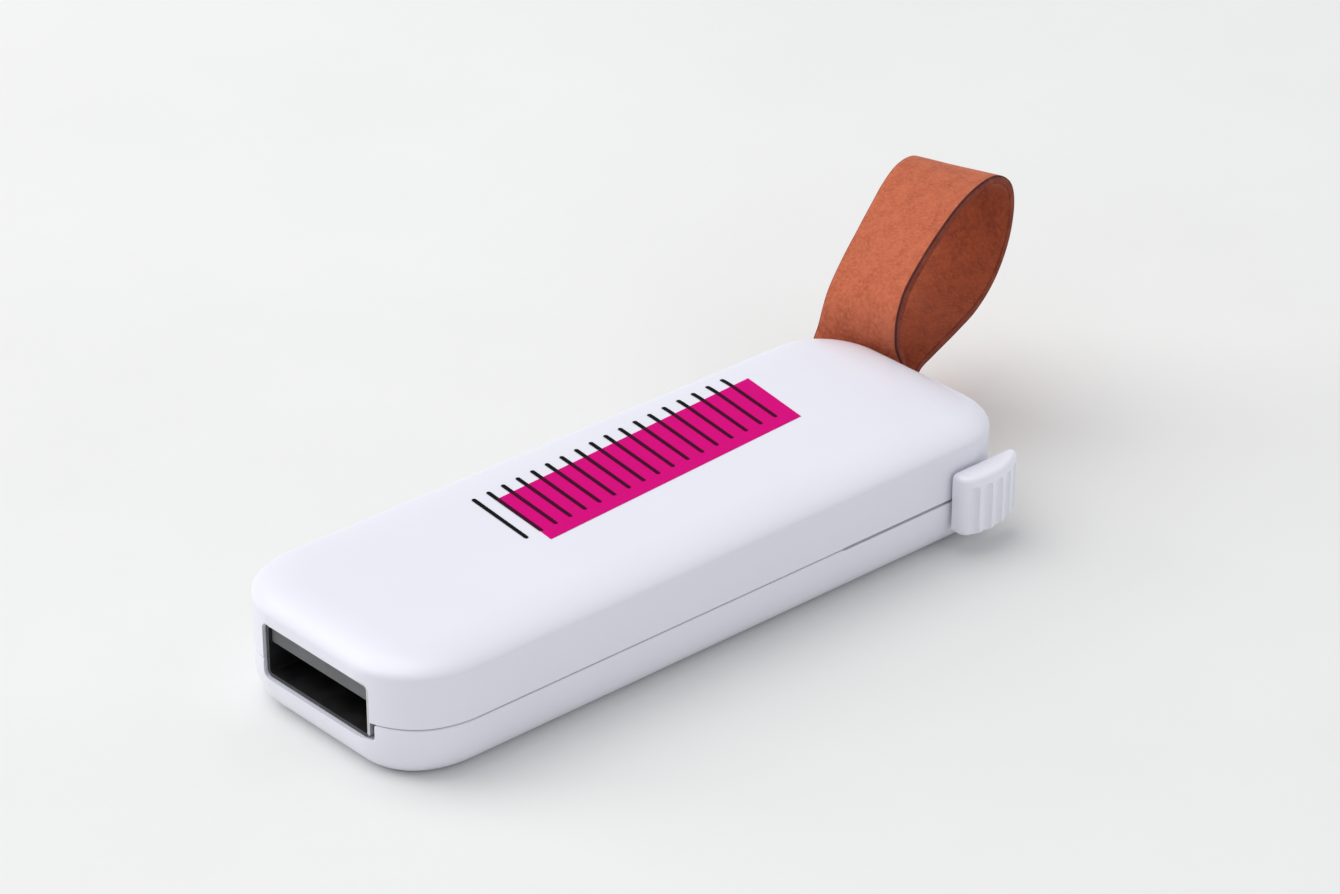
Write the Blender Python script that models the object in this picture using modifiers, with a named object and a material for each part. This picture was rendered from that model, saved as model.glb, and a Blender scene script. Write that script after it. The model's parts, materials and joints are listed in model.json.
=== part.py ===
"""Retractable USB flash drive with a side thumb slider and a leather loop strap.

Frame: +Z up, the drive lies on its flat underside, the plug leaves towards -Y.
The origin is the middle of the case's underside. All lengths are in metres.
"""
import math

import bmesh
import bpy
from mathutils import Vector

MM = 0.001

# ---------------------------------------------------------------- driving dimensions
# Case
CASE_LENGTH = 62.0 * MM
CASE_WIDTH = 22.0 * MM
CASE_HEIGHT = 9.8 * MM
WALL = 1.4 * MM
FRONT_CORNER = (6.1 * MM, 7.2 * MM)      # plan corner radii, across and along
REAR_CORNER = (6.0 * MM, 5.4 * MM)
TOP_EDGE = (4.3 * MM, 1.3 * MM)          # elliptical edge rounding, inwards and down
BOTTOM_EDGE = (2.4 * MM, 3.5 * MM)
PARTING_HEIGHT = 4.5 * MM
LIP_DEPTH = 0.9 * MM
LIP_THICKNESS = 0.55 * MM
CORNER_STEPS = 9
EDGE_STEPS = 5

# Clearances
SEAT_GAP = 0.3 * MM                      # between pieces that rest on each other
FINE_GAP = 0.15 * MM                     # inside the plug
RUN_GAP = 0.25 * MM                      # around the plug in its opening

# USB-A plug
PLUG_WIDTH = 12.0 * MM
PLUG_HEIGHT = 4.5 * MM
PLUG_LENGTH = 18.7 * MM
PLUG_SHEET = 0.3 * MM
PLUG_CORNER = 0.55 * MM
PLUG_OFFSET = 0.4 * MM                   # towards the slider side
PLUG_AXIS_HEIGHT = 5.4 * MM
PLUG_RECESS = 0.6 * MM                   # mouth behind the case's front when retracted
PLUG_RELIEF = 0.4 * MM                   # extra opening width in the lower shell
WINDOW_SIZE = (2.4 * MM, 2.0 * MM)
WINDOW_SETBACK = 5.2 * MM
WINDOW_SPREAD = 4.6 * MM
TONGUE_THICKNESS = 1.85 * MM
TONGUE_RECESS = 1.0 * MM
TONGUE_ROOT = 6.0 * MM
CONTACT_SPREADS = (-3.5 * MM, -1.0 * MM, 1.0 * MM, 3.5 * MM)
CONTACT_WIDTH = 1.0 * MM
CONTACT_THICKNESS = 0.2 * MM
CONTACT_SETBACK = 1.6 * MM
CONTACT_OVERLAP = 2.4 * MM               # length lying over the circuit board

# Circuit board and what it carries
BOARD_REAR_SETBACK = 10.4 * MM           # from the case's rear, leaves room for the strap's end
BOARD_WIDTH = 14.0 * MM
BOARD_THICKNESS = 0.8 * MM
MEMORY_WIDTH = 12.0 * MM
MEMORY_THICKNESS = 1.2 * MM
MEMORY_FRONT_ROOM = 10.1 * MM            # board kept clear in front of the memory chip
MEMORY_REAR_ROOM = 3.5 * MM
CONTROLLER_SIZE = (7.0 * MM, 7.0 * MM, 0.9 * MM)
CRYSTAL_SIZE = (3.2 * MM, 2.5 * MM, 0.8 * MM)
REGULATOR_SIZE = (1.6 * MM, 2.9 * MM, 1.0 * MM)
LED_SIZE = (0.8 * MM, 1.6 * MM, 0.7 * MM)
CHIP_PASSIVE_SIZE = (1.0 * MM, 0.5 * MM, 0.5 * MM)
PASSIVE_PITCH = 1.6 * MM

# Carriage
TRAVEL = 12.6 * MM
TRAY_FLOOR = 0.8 * MM
TRAY_WALL = 0.8 * MM
TRAY_WALL_RISE = 0.4 * MM                # above the board's top face
TRAY_LEDGE = 0.9 * MM
PLUG_HOLD = 3.0 * MM                     # length of plug that the carriage's saddle holds
SHUTTER_LENGTH = 13.6 * MM
SHUTTER_HEIGHT = 1.8 * MM
ARM_BLOCK_WIDTH = 3.2 * MM
ARM_BLOCK_LENGTH = 4.5 * MM

# Slider arm and thumb slider
ARM_THICKNESS = 0.4 * MM
ARM_LENGTH = 2.8 * MM                    # along the slide
ARM_REACH = 0.55 * MM                    # into the thumb slider
SLOT_HEIGHT = 1.0 * MM
SLIDER_LENGTH = 6.6 * MM
SLIDER_SETBACK = 1.0 * MM                # in front of the case's rear end
SLIDER_ARM_SETBACK = 2.2 * MM            # arm in front of the slider's rear end
SLIDER_PROUD = 1.9 * MM
SLIDER_CROWN_SETBACK = 2.5 * MM          # highest point behind the slider's front end
SLIDER_CROWN_RADIUS = 6.6 * MM
SLIDER_FRONT_ROUND = 1.1 * MM
SLIDER_REAR_ROUND = 0.4 * MM
SLIDER_RIM_ROUND = 0.35 * MM
SLIDER_BOTTOM = 1.9 * MM
SLIDER_TOP = 7.0 * MM
FLUTE_RADIUS = 0.5 * MM
FLUTE_PITCH = 1.4 * MM
FLUTE_LIFT = 0.1 * MM                    # cutter's axis outside the slider's outer face
FLUTE_COUNT = 4
FLUTE_SETBACK = 1.2 * MM
FLUTE_TOP_MARGIN = 0.75 * MM

# Detent
SPRING_LENGTH = 13.0 * MM
SPRING_HEIGHT = 1.8 * MM
SPRING_SHEET = 0.25 * MM
SPRING_BOW = 0.45 * MM
SPRING_PAD = 2.0 * MM
DETENT_RIDGE = 0.25 * MM
DETENT_PITCH = 2.6 * MM                  # between the two ridges that hold the bump

# Strap
STRAP_WIDTH = 8.4 * MM
STRAP_THICKNESS = 1.2 * MM
STRAP_SIDE = 4.7 * MM                    # middle of the strap, in from the case's left side
STRAP_SETBACK = 0.1 * MM                 # of the exit point, in front of the case's rear
STRAP_YAW = math.radians(15.0)
STRAP_HEIGHT = 5.4 * MM
STRAP_PIVOT_OUT = 0.6 * MM
STRAP_ROOT_DEPTH = 6.2 * MM
STRAP_PIN_DEPTH = 3.9 * MM
STRAP_PIN_RADIUS = 0.75 * MM
STRAP_BOSS_RADIUS = 1.9 * MM
# The loop's middle surface along each edge of the strap: (out from the case, up), in
# millimetres, from the upper ply's exit round to the lower ply's.
LOOP_RIGHT = (
    (1.00, 6.15), (1.15, 7.60), (0.70, 9.20), (-0.30, 10.90), (-0.95, 12.40), (-1.00, 13.70),
    (-0.30, 14.90), (1.30, 16.10), (3.60, 17.50), (6.30, 18.80), (9.50, 19.50), (12.60, 19.30),
    (15.00, 17.90), (15.90, 15.80), (15.40, 13.10), (13.50, 10.60), (10.50, 9.10), (7.00, 8.30),
    (4.40, 7.40), (3.00, 6.20), (2.20, 5.20), (1.00, 4.65))
LOOP_LEFT = (
    (1.00, 6.15), (1.20, 7.60), (1.05, 9.20), (1.00, 10.70), (1.60, 12.10), (2.80, 13.40),
    (4.30, 14.50), (5.90, 15.60), (7.60, 16.80), (9.40, 18.00), (11.40, 18.80), (13.50, 18.70),
    (15.20, 17.60), (15.90, 15.80), (15.40, 13.10), (13.50, 10.60), (10.50, 9.10), (7.00, 8.30),
    (4.40, 7.40), (3.00, 6.20), (2.20, 5.20), (1.00, 4.65))
LOOP_STEPS = 2                           # spline steps between route points
STRAP_STRIPS = 4                         # faces across the strap

# ---------------------------------------------------------------- derived dimensions
HALF_WIDTH = CASE_WIDTH / 2
HALF_LENGTH = CASE_LENGTH / 2
FRONT_Y = -HALF_LENGTH
CEILING = CASE_HEIGHT - WALL
INNER_HALF_WIDTH = HALF_WIDTH - WALL
SPLIT_LOW = PARTING_HEIGHT - SEAT_GAP / 2
SPLIT_HIGH = PARTING_HEIGHT + SEAT_GAP / 2
FAR = 3 * max(CASE_LENGTH, CASE_WIDTH)

PLUG_FRONT = FRONT_Y + PLUG_RECESS
PLUG_REAR = PLUG_FRONT + PLUG_LENGTH
PLUG_INNER_WIDTH = PLUG_WIDTH - 2 * PLUG_SHEET
PLUG_INNER_HEIGHT = PLUG_HEIGHT - 2 * PLUG_SHEET
PLUG_INNER_TOP = PLUG_AXIS_HEIGHT + PLUG_INNER_HEIGHT / 2
PLUG_INNER_BOTTOM = PLUG_AXIS_HEIGHT - PLUG_INNER_HEIGHT / 2
PLUG_BOTTOM = PLUG_AXIS_HEIGHT - PLUG_HEIGHT / 2
TONGUE_TOP = PLUG_INNER_TOP - FINE_GAP
TONGUE_BOTTOM = TONGUE_TOP - TONGUE_THICKNESS
CONTACT_TOP = TONGUE_BOTTOM - FINE_GAP
CONTACT_BOTTOM = CONTACT_TOP - CONTACT_THICKNESS

BOARD_TOP = CONTACT_BOTTOM - FINE_GAP
BOARD_BOTTOM = BOARD_TOP - BOARD_THICKNESS
BOARD_FRONT = PLUG_REAR + SEAT_GAP
BOARD_REAR = HALF_LENGTH - BOARD_REAR_SETBACK
BOARD_LENGTH = BOARD_REAR - BOARD_FRONT
BOARD_LEFT = PLUG_OFFSET - BOARD_WIDTH / 2
BOARD_RIGHT = PLUG_OFFSET + BOARD_WIDTH / 2

TRAY_BOTTOM = WALL + SEAT_GAP
TRAY_FLOOR_TOP = TRAY_BOTTOM + TRAY_FLOOR
TRAY_LEFT = BOARD_LEFT - SEAT_GAP - TRAY_WALL
TRAY_RIGHT = BOARD_RIGHT + SEAT_GAP + TRAY_WALL
TRAY_TOP = BOARD_TOP + TRAY_WALL_RISE
TRAY_FRONT = PLUG_REAR - TRAY_WALL
TRAY_REAR = BOARD_REAR + SEAT_GAP + TRAY_WALL
SADDLE_FRONT = PLUG_REAR - PLUG_HOLD

SLIDER_REAR = HALF_LENGTH - SLIDER_SETBACK
SLIDER_FRONT = SLIDER_REAR - SLIDER_LENGTH
SLIDER_INNER_X = HALF_WIDTH + SEAT_GAP
ARM_REAR = SLIDER_REAR - SLIDER_ARM_SETBACK
ARM_FRONT = ARM_REAR - ARM_LENGTH
ARM_TIP_X = SLIDER_INNER_X + ARM_REACH
ARM_TOP = PARTING_HEIGHT + ARM_THICKNESS / 2
ARM_BOTTOM = PARTING_HEIGHT - ARM_THICKNESS / 2
SLOT_FRONT = ARM_FRONT - TRAVEL - SEAT_GAP
SLOT_REAR = ARM_REAR + SEAT_GAP

SPRING_BOTTOM = BOARD_TOP + SEAT_GAP
SPRING_CENTRE_Y = BOARD_FRONT + BOARD_LENGTH * 0.55
SPRING_TIP_X = -INNER_HALF_WIDTH + DETENT_RIDGE + RUN_GAP + SPRING_SHEET / 2
SPRING_FACE_X = SPRING_TIP_X + SPRING_BOW
SPRING_SEAT_X = SPRING_FACE_X + SPRING_SHEET / 2 + SEAT_GAP

STRAP_EXIT = (-HALF_WIDTH + STRAP_SIDE, HALF_LENGTH - STRAP_SETBACK)
STRAP_PLY_OFFSET = (STRAP_THICKNESS + SEAT_GAP) / 2
PLY_STACK_HALF = STRAP_THICKNESS + SEAT_GAP / 2
BOSS_LOW_TOP = STRAP_HEIGHT - PLY_STACK_HALF - SEAT_GAP
BOSS_HIGH_BOTTOM = STRAP_HEIGHT + PLY_STACK_HALF + SEAT_GAP


# ---------------------------------------------------------------- shared tools
def clear_scene():
    for obj in list(bpy.data.objects):
        bpy.data.objects.remove(obj, do_unlink=True)


def new_collection(name):
    collection = bpy.data.collections.new(name)
    bpy.context.scene.collection.children.link(collection)
    return collection


def new_material(name, color, roughness, metallic=0.0):
    material = bpy.data.materials.new(name)
    material.use_nodes = True
    shader = material.node_tree.nodes["Principled BSDF"]
    shader.inputs["Base Color"].default_value = (*color, 1.0)
    shader.inputs["Roughness"].default_value = roughness
    shader.inputs["Metallic"].default_value = metallic
    material.diffuse_color = (*color, 1.0)
    return material


clear_scene()
PARTS = new_collection("usb_flash_drive")
CUTTERS = new_collection("cutters")


def add_object(name, bm, material=None, parent=None, location=(0, 0, 0)):
    """Turn a bmesh into a part, or into a hidden cutter when it has no material."""
    mesh = bpy.data.meshes.new(name)
    bm.to_mesh(mesh)
    bm.free()
    obj = bpy.data.objects.new(name, mesh)
    obj.location = location
    obj.parent = parent
    if material is None:
        CUTTERS.objects.link(obj)
        obj.hide_render = True
        obj.display_type = "WIRE"
    else:
        PARTS.objects.link(obj)
        mesh.materials.append(material)
        mesh.shade_smooth()
        mesh.set_sharp_from_angle(angle=math.radians(32))
    return obj


def cut(obj, cutter, operation="DIFFERENCE"):
    modifier = obj.modifiers.new(operation.lower(), "BOOLEAN")
    modifier.operation = operation
    modifier.object = cutter
    modifier.solver = "EXACT"


def round_edges(obj, width, segments=2, angle=40.0):
    modifier = obj.modifiers.new("rounded edges", "BEVEL")
    modifier.width = width
    modifier.segments = segments
    modifier.limit_method = "ANGLE"
    modifier.angle_limit = math.radians(angle)


def block(name, low, high, material=None, parent=None, location=(0, 0, 0)):
    """A box between two corners given in the parent's frame, centred on its own origin."""
    low, high = Vector(low), Vector(high)
    size = high - low
    bm = bmesh.new()
    bmesh.ops.create_cube(bm, size=1.0)
    bmesh.ops.scale(bm, vec=size, verts=bm.verts)
    centre = (low + high) / 2 + Vector(location)
    return add_object(name, bm, material, parent, centre)


def rod(name, radius, low_z, high_z, centre_xy, material=None, parent=None, segments=24):
    bm = bmesh.new()
    bmesh.ops.create_cone(
        bm, cap_ends=True, segments=segments, radius1=radius, radius2=radius, depth=high_z - low_z)
    centre = (centre_xy[0], centre_xy[1], (low_z + high_z) / 2)
    return add_object(name, bm, material, parent, centre)


def plan_outline(inset):
    """The case's plan, moved inwards: four elliptical corners joined by straight sides."""
    points = []
    for side_x, side_y in ((1, -1), (1, 1), (-1, 1), (-1, -1)):
        across, along = FRONT_CORNER if side_y < 0 else REAR_CORNER
        across = max(across - inset, 0.3 * MM)
        along = max(along - inset, 0.3 * MM)
        centre_x = side_x * (HALF_WIDTH - inset - across)
        centre_y = side_y * (HALF_LENGTH - inset - along)
        arc = []
        for step in range(CORNER_STEPS + 1):
            turn = math.pi / 2 * step / CORNER_STEPS
            arc.append((centre_x + side_x * across * math.cos(turn),
                        centre_y + side_y * along * math.sin(turn)))
        if side_x * side_y < 0:
            arc.reverse()
        points.extend(arc)
    return points


def loft(name, sections, material=None):
    """Bridge plan outlines at rising heights into one closed body."""
    bm = bmesh.new()
    loops = []
    for inset, height in sections:
        verts = [bm.verts.new((x, y, height)) for x, y in plan_outline(inset)]
        loops.append([bm.edges.new((verts[i - 1], verts[i])) for i in range(len(verts))])
    for lower, upper in zip(loops, loops[1:]):
        bmesh.ops.bridge_loops(bm, edges=lower + upper)
    for rim in (loops[0], loops[-1]):
        bmesh.ops.contextual_create(bm, geom=rim)
    bmesh.ops.recalc_face_normals(bm, faces=bm.faces)
    return add_object(name, bm, material)


def rounded_sections(inset, bottom, top, bottom_edge, top_edge, steps=EDGE_STEPS):
    """Heights and insets of a body whose upper and lower edges follow quarter ellipses."""
    sections = []
    for step in range(steps + 1):
        turn = math.pi / 2 * step / steps
        sections.append((inset + bottom_edge[0] * (1 - math.sin(turn)),
                         bottom + bottom_edge[1] * (1 - math.cos(turn))))
    for step in range(steps + 1):
        turn = math.pi / 2 * step / steps
        sections.append((inset + top_edge[0] * (1 - math.cos(turn)),
                         top - top_edge[1] * (1 - math.sin(turn))))
    return sections


# ---------------------------------------------------------------- materials
WHITE_SHELL = new_material("white_shell", (0.83, 0.84, 0.90), 0.28)
WHITE_INNER = new_material("white_carriage", (0.80, 0.80, 0.84), 0.40)
PLUG_STEEL = new_material("plug_steel", (0.62, 0.62, 0.64), 0.25, 1.0)
BLACK_RESIN = new_material("black_resin", (0.02, 0.02, 0.022), 0.45)
TONGUE_GREY = new_material("tongue_grey", (0.16, 0.17, 0.18), 0.50)
GOLD = new_material("contact_gold", (0.83, 0.62, 0.25), 0.25, 1.0)
BOARD_GREEN = new_material("board_green", (0.03, 0.20, 0.10), 0.35)
CERAMIC = new_material("ceramic", (0.45, 0.36, 0.27), 0.50)
CRYSTAL_CAN = new_material("crystal_can", (0.70, 0.70, 0.70), 0.28, 1.0)
LED_LENS = new_material("led_lens", (0.35, 0.55, 0.90), 0.20)
SPRING_STEEL = new_material("spring_steel", (0.55, 0.55, 0.57), 0.30, 1.0)
TAN_LEATHER = new_material("tan_leather", (0.52, 0.19, 0.09), 0.80)

# ---------------------------------------------------------------- empties on the joint axes
plug_axis = bpy.data.objects.new("plug_axis", None)
plug_axis.location = (PLUG_OFFSET, PLUG_FRONT, PLUG_AXIS_HEIGHT)
PARTS.objects.link(plug_axis)

strap_pivot = bpy.data.objects.new("strap_pivot", None)
strap_pivot.location = (STRAP_EXIT[0] - STRAP_PIVOT_OUT * math.sin(STRAP_YAW),
                        STRAP_EXIT[1] + STRAP_PIVOT_OUT * math.cos(STRAP_YAW),
                        STRAP_HEIGHT)
strap_pivot.rotation_euler = (0, 0, STRAP_YAW)
PARTS.objects.link(strap_pivot)

ON_SLIDE = tuple(-c for c in plug_axis.location)       # case coordinates seen from the empty
STRAP_OUT = -STRAP_PIVOT_OUT                            # the case's wall seen from the pivot


def slide_block(name, low, high, material=None):
    """A box in case coordinates that travels with the plug."""
    return block(name, low, high, material, plug_axis, ON_SLIDE)


# ---------------------------------------------------------------- case shells
def case_blank(name, material=None):
    return loft(name, rounded_sections(0.0, 0.0, CASE_HEIGHT, BOTTOM_EDGE, TOP_EDGE), material)


def cavity_blank(name, inset=WALL):
    bottom_edge = (BOTTOM_EDGE[0] / 2, BOTTOM_EDGE[1] / 2)
    top_edge = (TOP_EDGE[0] - 0.5 * WALL, TOP_EDGE[1] - 0.5 * WALL)
    return loft(name, rounded_sections(inset, WALL, CEILING, bottom_edge, top_edge, 3))


def band(name, outer_inset, low, high):
    """A prism of the case's plan, used for the joint between the shells."""
    return loft(name, [(outer_inset, low), (outer_inset, high)])


cavity = cavity_blank("cavity")
below_split = block("below_split", (-FAR, -FAR, -FAR), (FAR, FAR, SPLIT_LOW))
# The upper shell keeps everything above the split and a lip that reaches into the lower one.
above_split = block("above_split", (-FAR, -FAR, SPLIT_HIGH), (FAR, FAR, FAR))
lip_zone = band("lip_zone", WALL - LIP_THICKNESS, SPLIT_LOW - LIP_DEPTH, SPLIT_HIGH + LIP_DEPTH)
cut(above_split, lip_zone, "UNION")
lip_rebate = band("lip_rebate", WALL - LIP_THICKNESS - SEAT_GAP, SPLIT_LOW - LIP_DEPTH - SEAT_GAP,
                  CASE_HEIGHT)

plug_opening = block(
    "plug_opening",
    (PLUG_OFFSET - PLUG_WIDTH / 2 - RUN_GAP, FRONT_Y - WALL, PLUG_BOTTOM - RUN_GAP),
    (PLUG_OFFSET + PLUG_WIDTH / 2 + RUN_GAP, FRONT_Y + 2 * WALL, PLUG_BOTTOM + PLUG_HEIGHT + RUN_GAP))
plug_relief = block(
    "plug_relief",
    (PLUG_OFFSET + PLUG_WIDTH / 2, FRONT_Y - 2 * WALL, PLUG_BOTTOM - RUN_GAP / 2),
    (PLUG_OFFSET + PLUG_WIDTH / 2 + RUN_GAP + PLUG_RELIEF, FRONT_Y + 3 * WALL, PARTING_HEIGHT + WALL))
slider_slot = block(
    "slider_slot",
    (INNER_HALF_WIDTH - REAR_CORNER[0], SLOT_FRONT, PARTING_HEIGHT - SLOT_HEIGHT / 2),
    (HALF_WIDTH + WALL, SLOT_REAR, PARTING_HEIGHT + SLOT_HEIGHT / 2))
strap_slot = block(
    "strap_slot",
    (-STRAP_WIDTH / 2 - SEAT_GAP, STRAP_OUT - STRAP_ROOT_DEPTH + WALL, -PLY_STACK_HALF - SEAT_GAP),
    (STRAP_WIDTH / 2 + SEAT_GAP, STRAP_OUT + 2 * WALL, PLY_STACK_HALF + SEAT_GAP),
    parent=strap_pivot)


def strap_post(name, radius, low_z, high_z):
    """An upright cylinder on the axis of the strap's pin."""
    return rod(name, radius, low_z - STRAP_HEIGHT, high_z - STRAP_HEIGHT,
               (0, STRAP_OUT - STRAP_PIN_DEPTH), parent=strap_pivot)


def build_upper_case():
    upper = case_blank("upper_case", WHITE_SHELL)
    cut(upper, cavity)
    cut(upper, above_split, "INTERSECT")
    for opening in (plug_opening, slider_slot, strap_slot):
        cut(upper, opening)
    rib_drop = 1.0 * MM
    rib_thick = 0.9 * MM
    for x in (BOARD_LEFT + 2 * TRAY_WALL, BOARD_RIGHT - 2 * TRAY_WALL):
        rib = block("ceiling_rib", (x - rib_thick / 2, PLUG_REAR + SEAT_GAP, CEILING - rib_drop),
                    (x + rib_thick / 2, BOARD_REAR, CEILING + WALL / 2))
        cut(upper, rib, "UNION")
    hole = STRAP_PIN_RADIUS + SEAT_GAP
    boss = strap_post("upper_strap_boss", STRAP_BOSS_RADIUS, BOSS_HIGH_BOTTOM, CEILING + WALL / 2)
    cut(upper, boss, "UNION")
    cut(upper, strap_post("upper_boss_hole", hole, BOSS_HIGH_BOTTOM - WALL, CEILING - SEAT_GAP))
    for stop in (0.0, -TRAVEL):
        for side in (-1, 1):
            y = SPRING_CENTRE_Y + stop + side * DETENT_PITCH / 2
            ridge = block(
                "detent_ridge", (-INNER_HALF_WIDTH - WALL / 2, y - DETENT_RIDGE, SPRING_BOTTOM),
                (-INNER_HALF_WIDTH + DETENT_RIDGE, y + DETENT_RIDGE, SPRING_BOTTOM + SPRING_HEIGHT))
            cut(upper, ridge, "UNION")
    return upper


def build_lower_case():
    lower = case_blank("lower_case", WHITE_SHELL)
    cut(lower, cavity)
    cut(lower, below_split, "INTERSECT")
    cut(lower, lip_rebate)
    for opening in (plug_opening, plug_relief, slider_slot, strap_slot):
        cut(lower, opening)
    rail = block("guide_rail", (TRAY_LEFT - SEAT_GAP - TRAY_WALL, TRAY_FRONT - TRAVEL, WALL / 2),
                 (TRAY_LEFT - SEAT_GAP, TRAY_REAR, TRAY_FLOOR_TOP))
    cut(lower, rail, "UNION")
    stop = block("rear_stop", (TRAY_LEFT, TRAY_REAR + SEAT_GAP, WALL / 2),
                 (PLUG_OFFSET, TRAY_REAR + SEAT_GAP + TRAY_WALL, TRAY_FLOOR_TOP))
    cut(lower, stop, "UNION")
    hole = STRAP_PIN_RADIUS + SEAT_GAP
    cut(lower, strap_post("lower_strap_boss", STRAP_BOSS_RADIUS, WALL / 2, BOSS_LOW_TOP), "UNION")
    cut(lower, strap_post("lower_boss_hole", hole, WALL + SEAT_GAP, BOSS_LOW_TOP + WALL))
    return lower


# ---------------------------------------------------------------- plug
def build_plug_shell():
    x0, x1 = PLUG_OFFSET - PLUG_WIDTH / 2, PLUG_OFFSET + PLUG_WIDTH / 2
    z1 = PLUG_AXIS_HEIGHT + PLUG_HEIGHT / 2
    shell = slide_block("plug_shell", (x0, PLUG_FRONT, PLUG_BOTTOM), (x1, PLUG_REAR, z1), PLUG_STEEL)
    bore = slide_block("plug_bore", (x0 + PLUG_SHEET, PLUG_FRONT - WALL, PLUG_BOTTOM + PLUG_SHEET),
                       (x1 - PLUG_SHEET, PLUG_REAR + WALL, z1 - PLUG_SHEET))
    for obj, radius in ((shell, PLUG_CORNER), (bore, PLUG_CORNER - PLUG_SHEET)):
        round_long_edges(obj, radius)
    cut(shell, bore)
    for side in (-1, 1):
        x = PLUG_OFFSET + side * WINDOW_SPREAD / 2
        window = slide_block(
            "plug_window",
            (x - WINDOW_SIZE[0] / 2, PLUG_FRONT + WINDOW_SETBACK, PLUG_BOTTOM - WALL),
            (x + WINDOW_SIZE[0] / 2, PLUG_FRONT + WINDOW_SETBACK + WINDOW_SIZE[1], z1 + WALL))
        cut(shell, window)
    return shell


def round_long_edges(obj, radius):
    """Round the four edges that run along Y, in the mesh itself."""
    bm = bmesh.new()
    bm.from_mesh(obj.data)
    edges = [e for e in bm.edges if abs((e.verts[0].co - e.verts[1].co).normalized().y) > 0.9]
    bmesh.ops.bevel(bm, geom=edges, offset=radius, segments=3, profile=0.5, affect="EDGES")
    bm.to_mesh(obj.data)
    bm.free()


def build_tongue():
    x0 = PLUG_OFFSET - PLUG_INNER_WIDTH / 2 + FINE_GAP
    x1 = PLUG_OFFSET + PLUG_INNER_WIDTH / 2 - FINE_GAP
    tongue = slide_block("plug_tongue", (x0, PLUG_FRONT + TONGUE_RECESS, TONGUE_BOTTOM),
                         (x1, PLUG_REAR, TONGUE_TOP), TONGUE_GREY)
    root = slide_block("tongue_root", (x0, PLUG_REAR - TONGUE_ROOT, PLUG_INNER_BOTTOM + FINE_GAP),
                       (x1, PLUG_REAR, TONGUE_TOP - FINE_GAP))
    cut(tongue, root, "UNION")
    for spread in CONTACT_SPREADS:
        x = PLUG_OFFSET + spread
        groove = slide_block(
            "contact_groove",
            (x - CONTACT_WIDTH / 2 - FINE_GAP, PLUG_REAR - TONGUE_ROOT - WALL, CONTACT_BOTTOM - FINE_GAP),
            (x + CONTACT_WIDTH / 2 + FINE_GAP, PLUG_REAR + WALL, CONTACT_TOP + FINE_GAP))
        cut(tongue, groove)
    return tongue


def build_contacts():
    for number, spread in enumerate(CONTACT_SPREADS, start=1):
        x = PLUG_OFFSET + spread
        contact = slide_block(
            f"contact_{number}",
            (x - CONTACT_WIDTH / 2, PLUG_FRONT + CONTACT_SETBACK, CONTACT_BOTTOM),
            (x + CONTACT_WIDTH / 2, BOARD_FRONT + CONTACT_OVERLAP, CONTACT_TOP), GOLD)
        round_edges(contact, CONTACT_THICKNESS / 3, 1)


# ---------------------------------------------------------------- board and components
def on_board_top(name, centre, size, material):
    x, y = centre
    low = BOARD_TOP + SEAT_GAP
    return slide_block(name, (x - size[0] / 2, y - size[1] / 2, low),
                       (x + size[0] / 2, y + size[1] / 2, low + size[2]), material)


def under_board(name, centre, size, material):
    x, y = centre
    high = BOARD_BOTTOM - SEAT_GAP
    return slide_block(name, (x - size[0] / 2, y - size[1] / 2, high - size[2]),
                       (x + size[0] / 2, y + size[1] / 2, high), material)


def build_board():
    board = slide_block("circuit_board", (BOARD_LEFT, BOARD_FRONT, BOARD_BOTTOM),
                        (BOARD_RIGHT, BOARD_REAR, BOARD_TOP), BOARD_GREEN)
    notch_depth = 1.2 * MM
    for side in (-1, 1):
        x = PLUG_OFFSET + side * BOARD_WIDTH / 2
        notch = slide_block("board_notch", (x - 0.8 * MM, BOARD_FRONT - WALL, BOARD_BOTTOM - WALL),
                            (x + 0.8 * MM, BOARD_FRONT + notch_depth, BOARD_TOP + WALL))
        cut(board, notch)

    component_front = BOARD_FRONT + CONTACT_OVERLAP + PASSIVE_PITCH
    memory_front = BOARD_FRONT + MEMORY_FRONT_ROOM
    memory_rear = BOARD_REAR - MEMORY_REAR_ROOM
    memory_size = (MEMORY_WIDTH, memory_rear - memory_front, MEMORY_THICKNESS)
    memory_centre = (PLUG_OFFSET, (memory_front + memory_rear) / 2)
    memory = on_board_top("memory_chip", memory_centre, memory_size, BLACK_RESIN)
    round_edges(memory, 0.15 * MM, 1)
    controller_y = BOARD_FRONT + CONTROLLER_SIZE[1]
    controller = under_board("controller_chip", (PLUG_OFFSET, controller_y), CONTROLLER_SIZE, BLACK_RESIN)
    round_edges(controller, 0.15 * MM, 1)
    crystal_y = controller_y + CONTROLLER_SIZE[1] / 2 + PASSIVE_PITCH + CRYSTAL_SIZE[1] / 2
    crystal = under_board("crystal", (PLUG_OFFSET, crystal_y), CRYSTAL_SIZE, CRYSTAL_CAN)
    round_edges(crystal, 0.2 * MM, 2)
    regulator = on_board_top(
        "regulator", (BOARD_LEFT + 2 * REGULATOR_SIZE[0], component_front + REGULATOR_SIZE[1] / 2),
        REGULATOR_SIZE, BLACK_RESIN)
    round_edges(regulator, 0.12 * MM, 1)
    led = on_board_top("activity_led", (PLUG_OFFSET, BOARD_REAR - LED_SIZE[1]), LED_SIZE, LED_LENS)
    round_edges(led, 0.1 * MM, 1)
    passive_row("capacitor", under_board, crystal_y + CRYSTAL_SIZE[1] + PASSIVE_PITCH, 4, CERAMIC)
    passive_row("resistor", on_board_top, component_front + PASSIVE_PITCH, 3, BLACK_RESIN)


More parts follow.
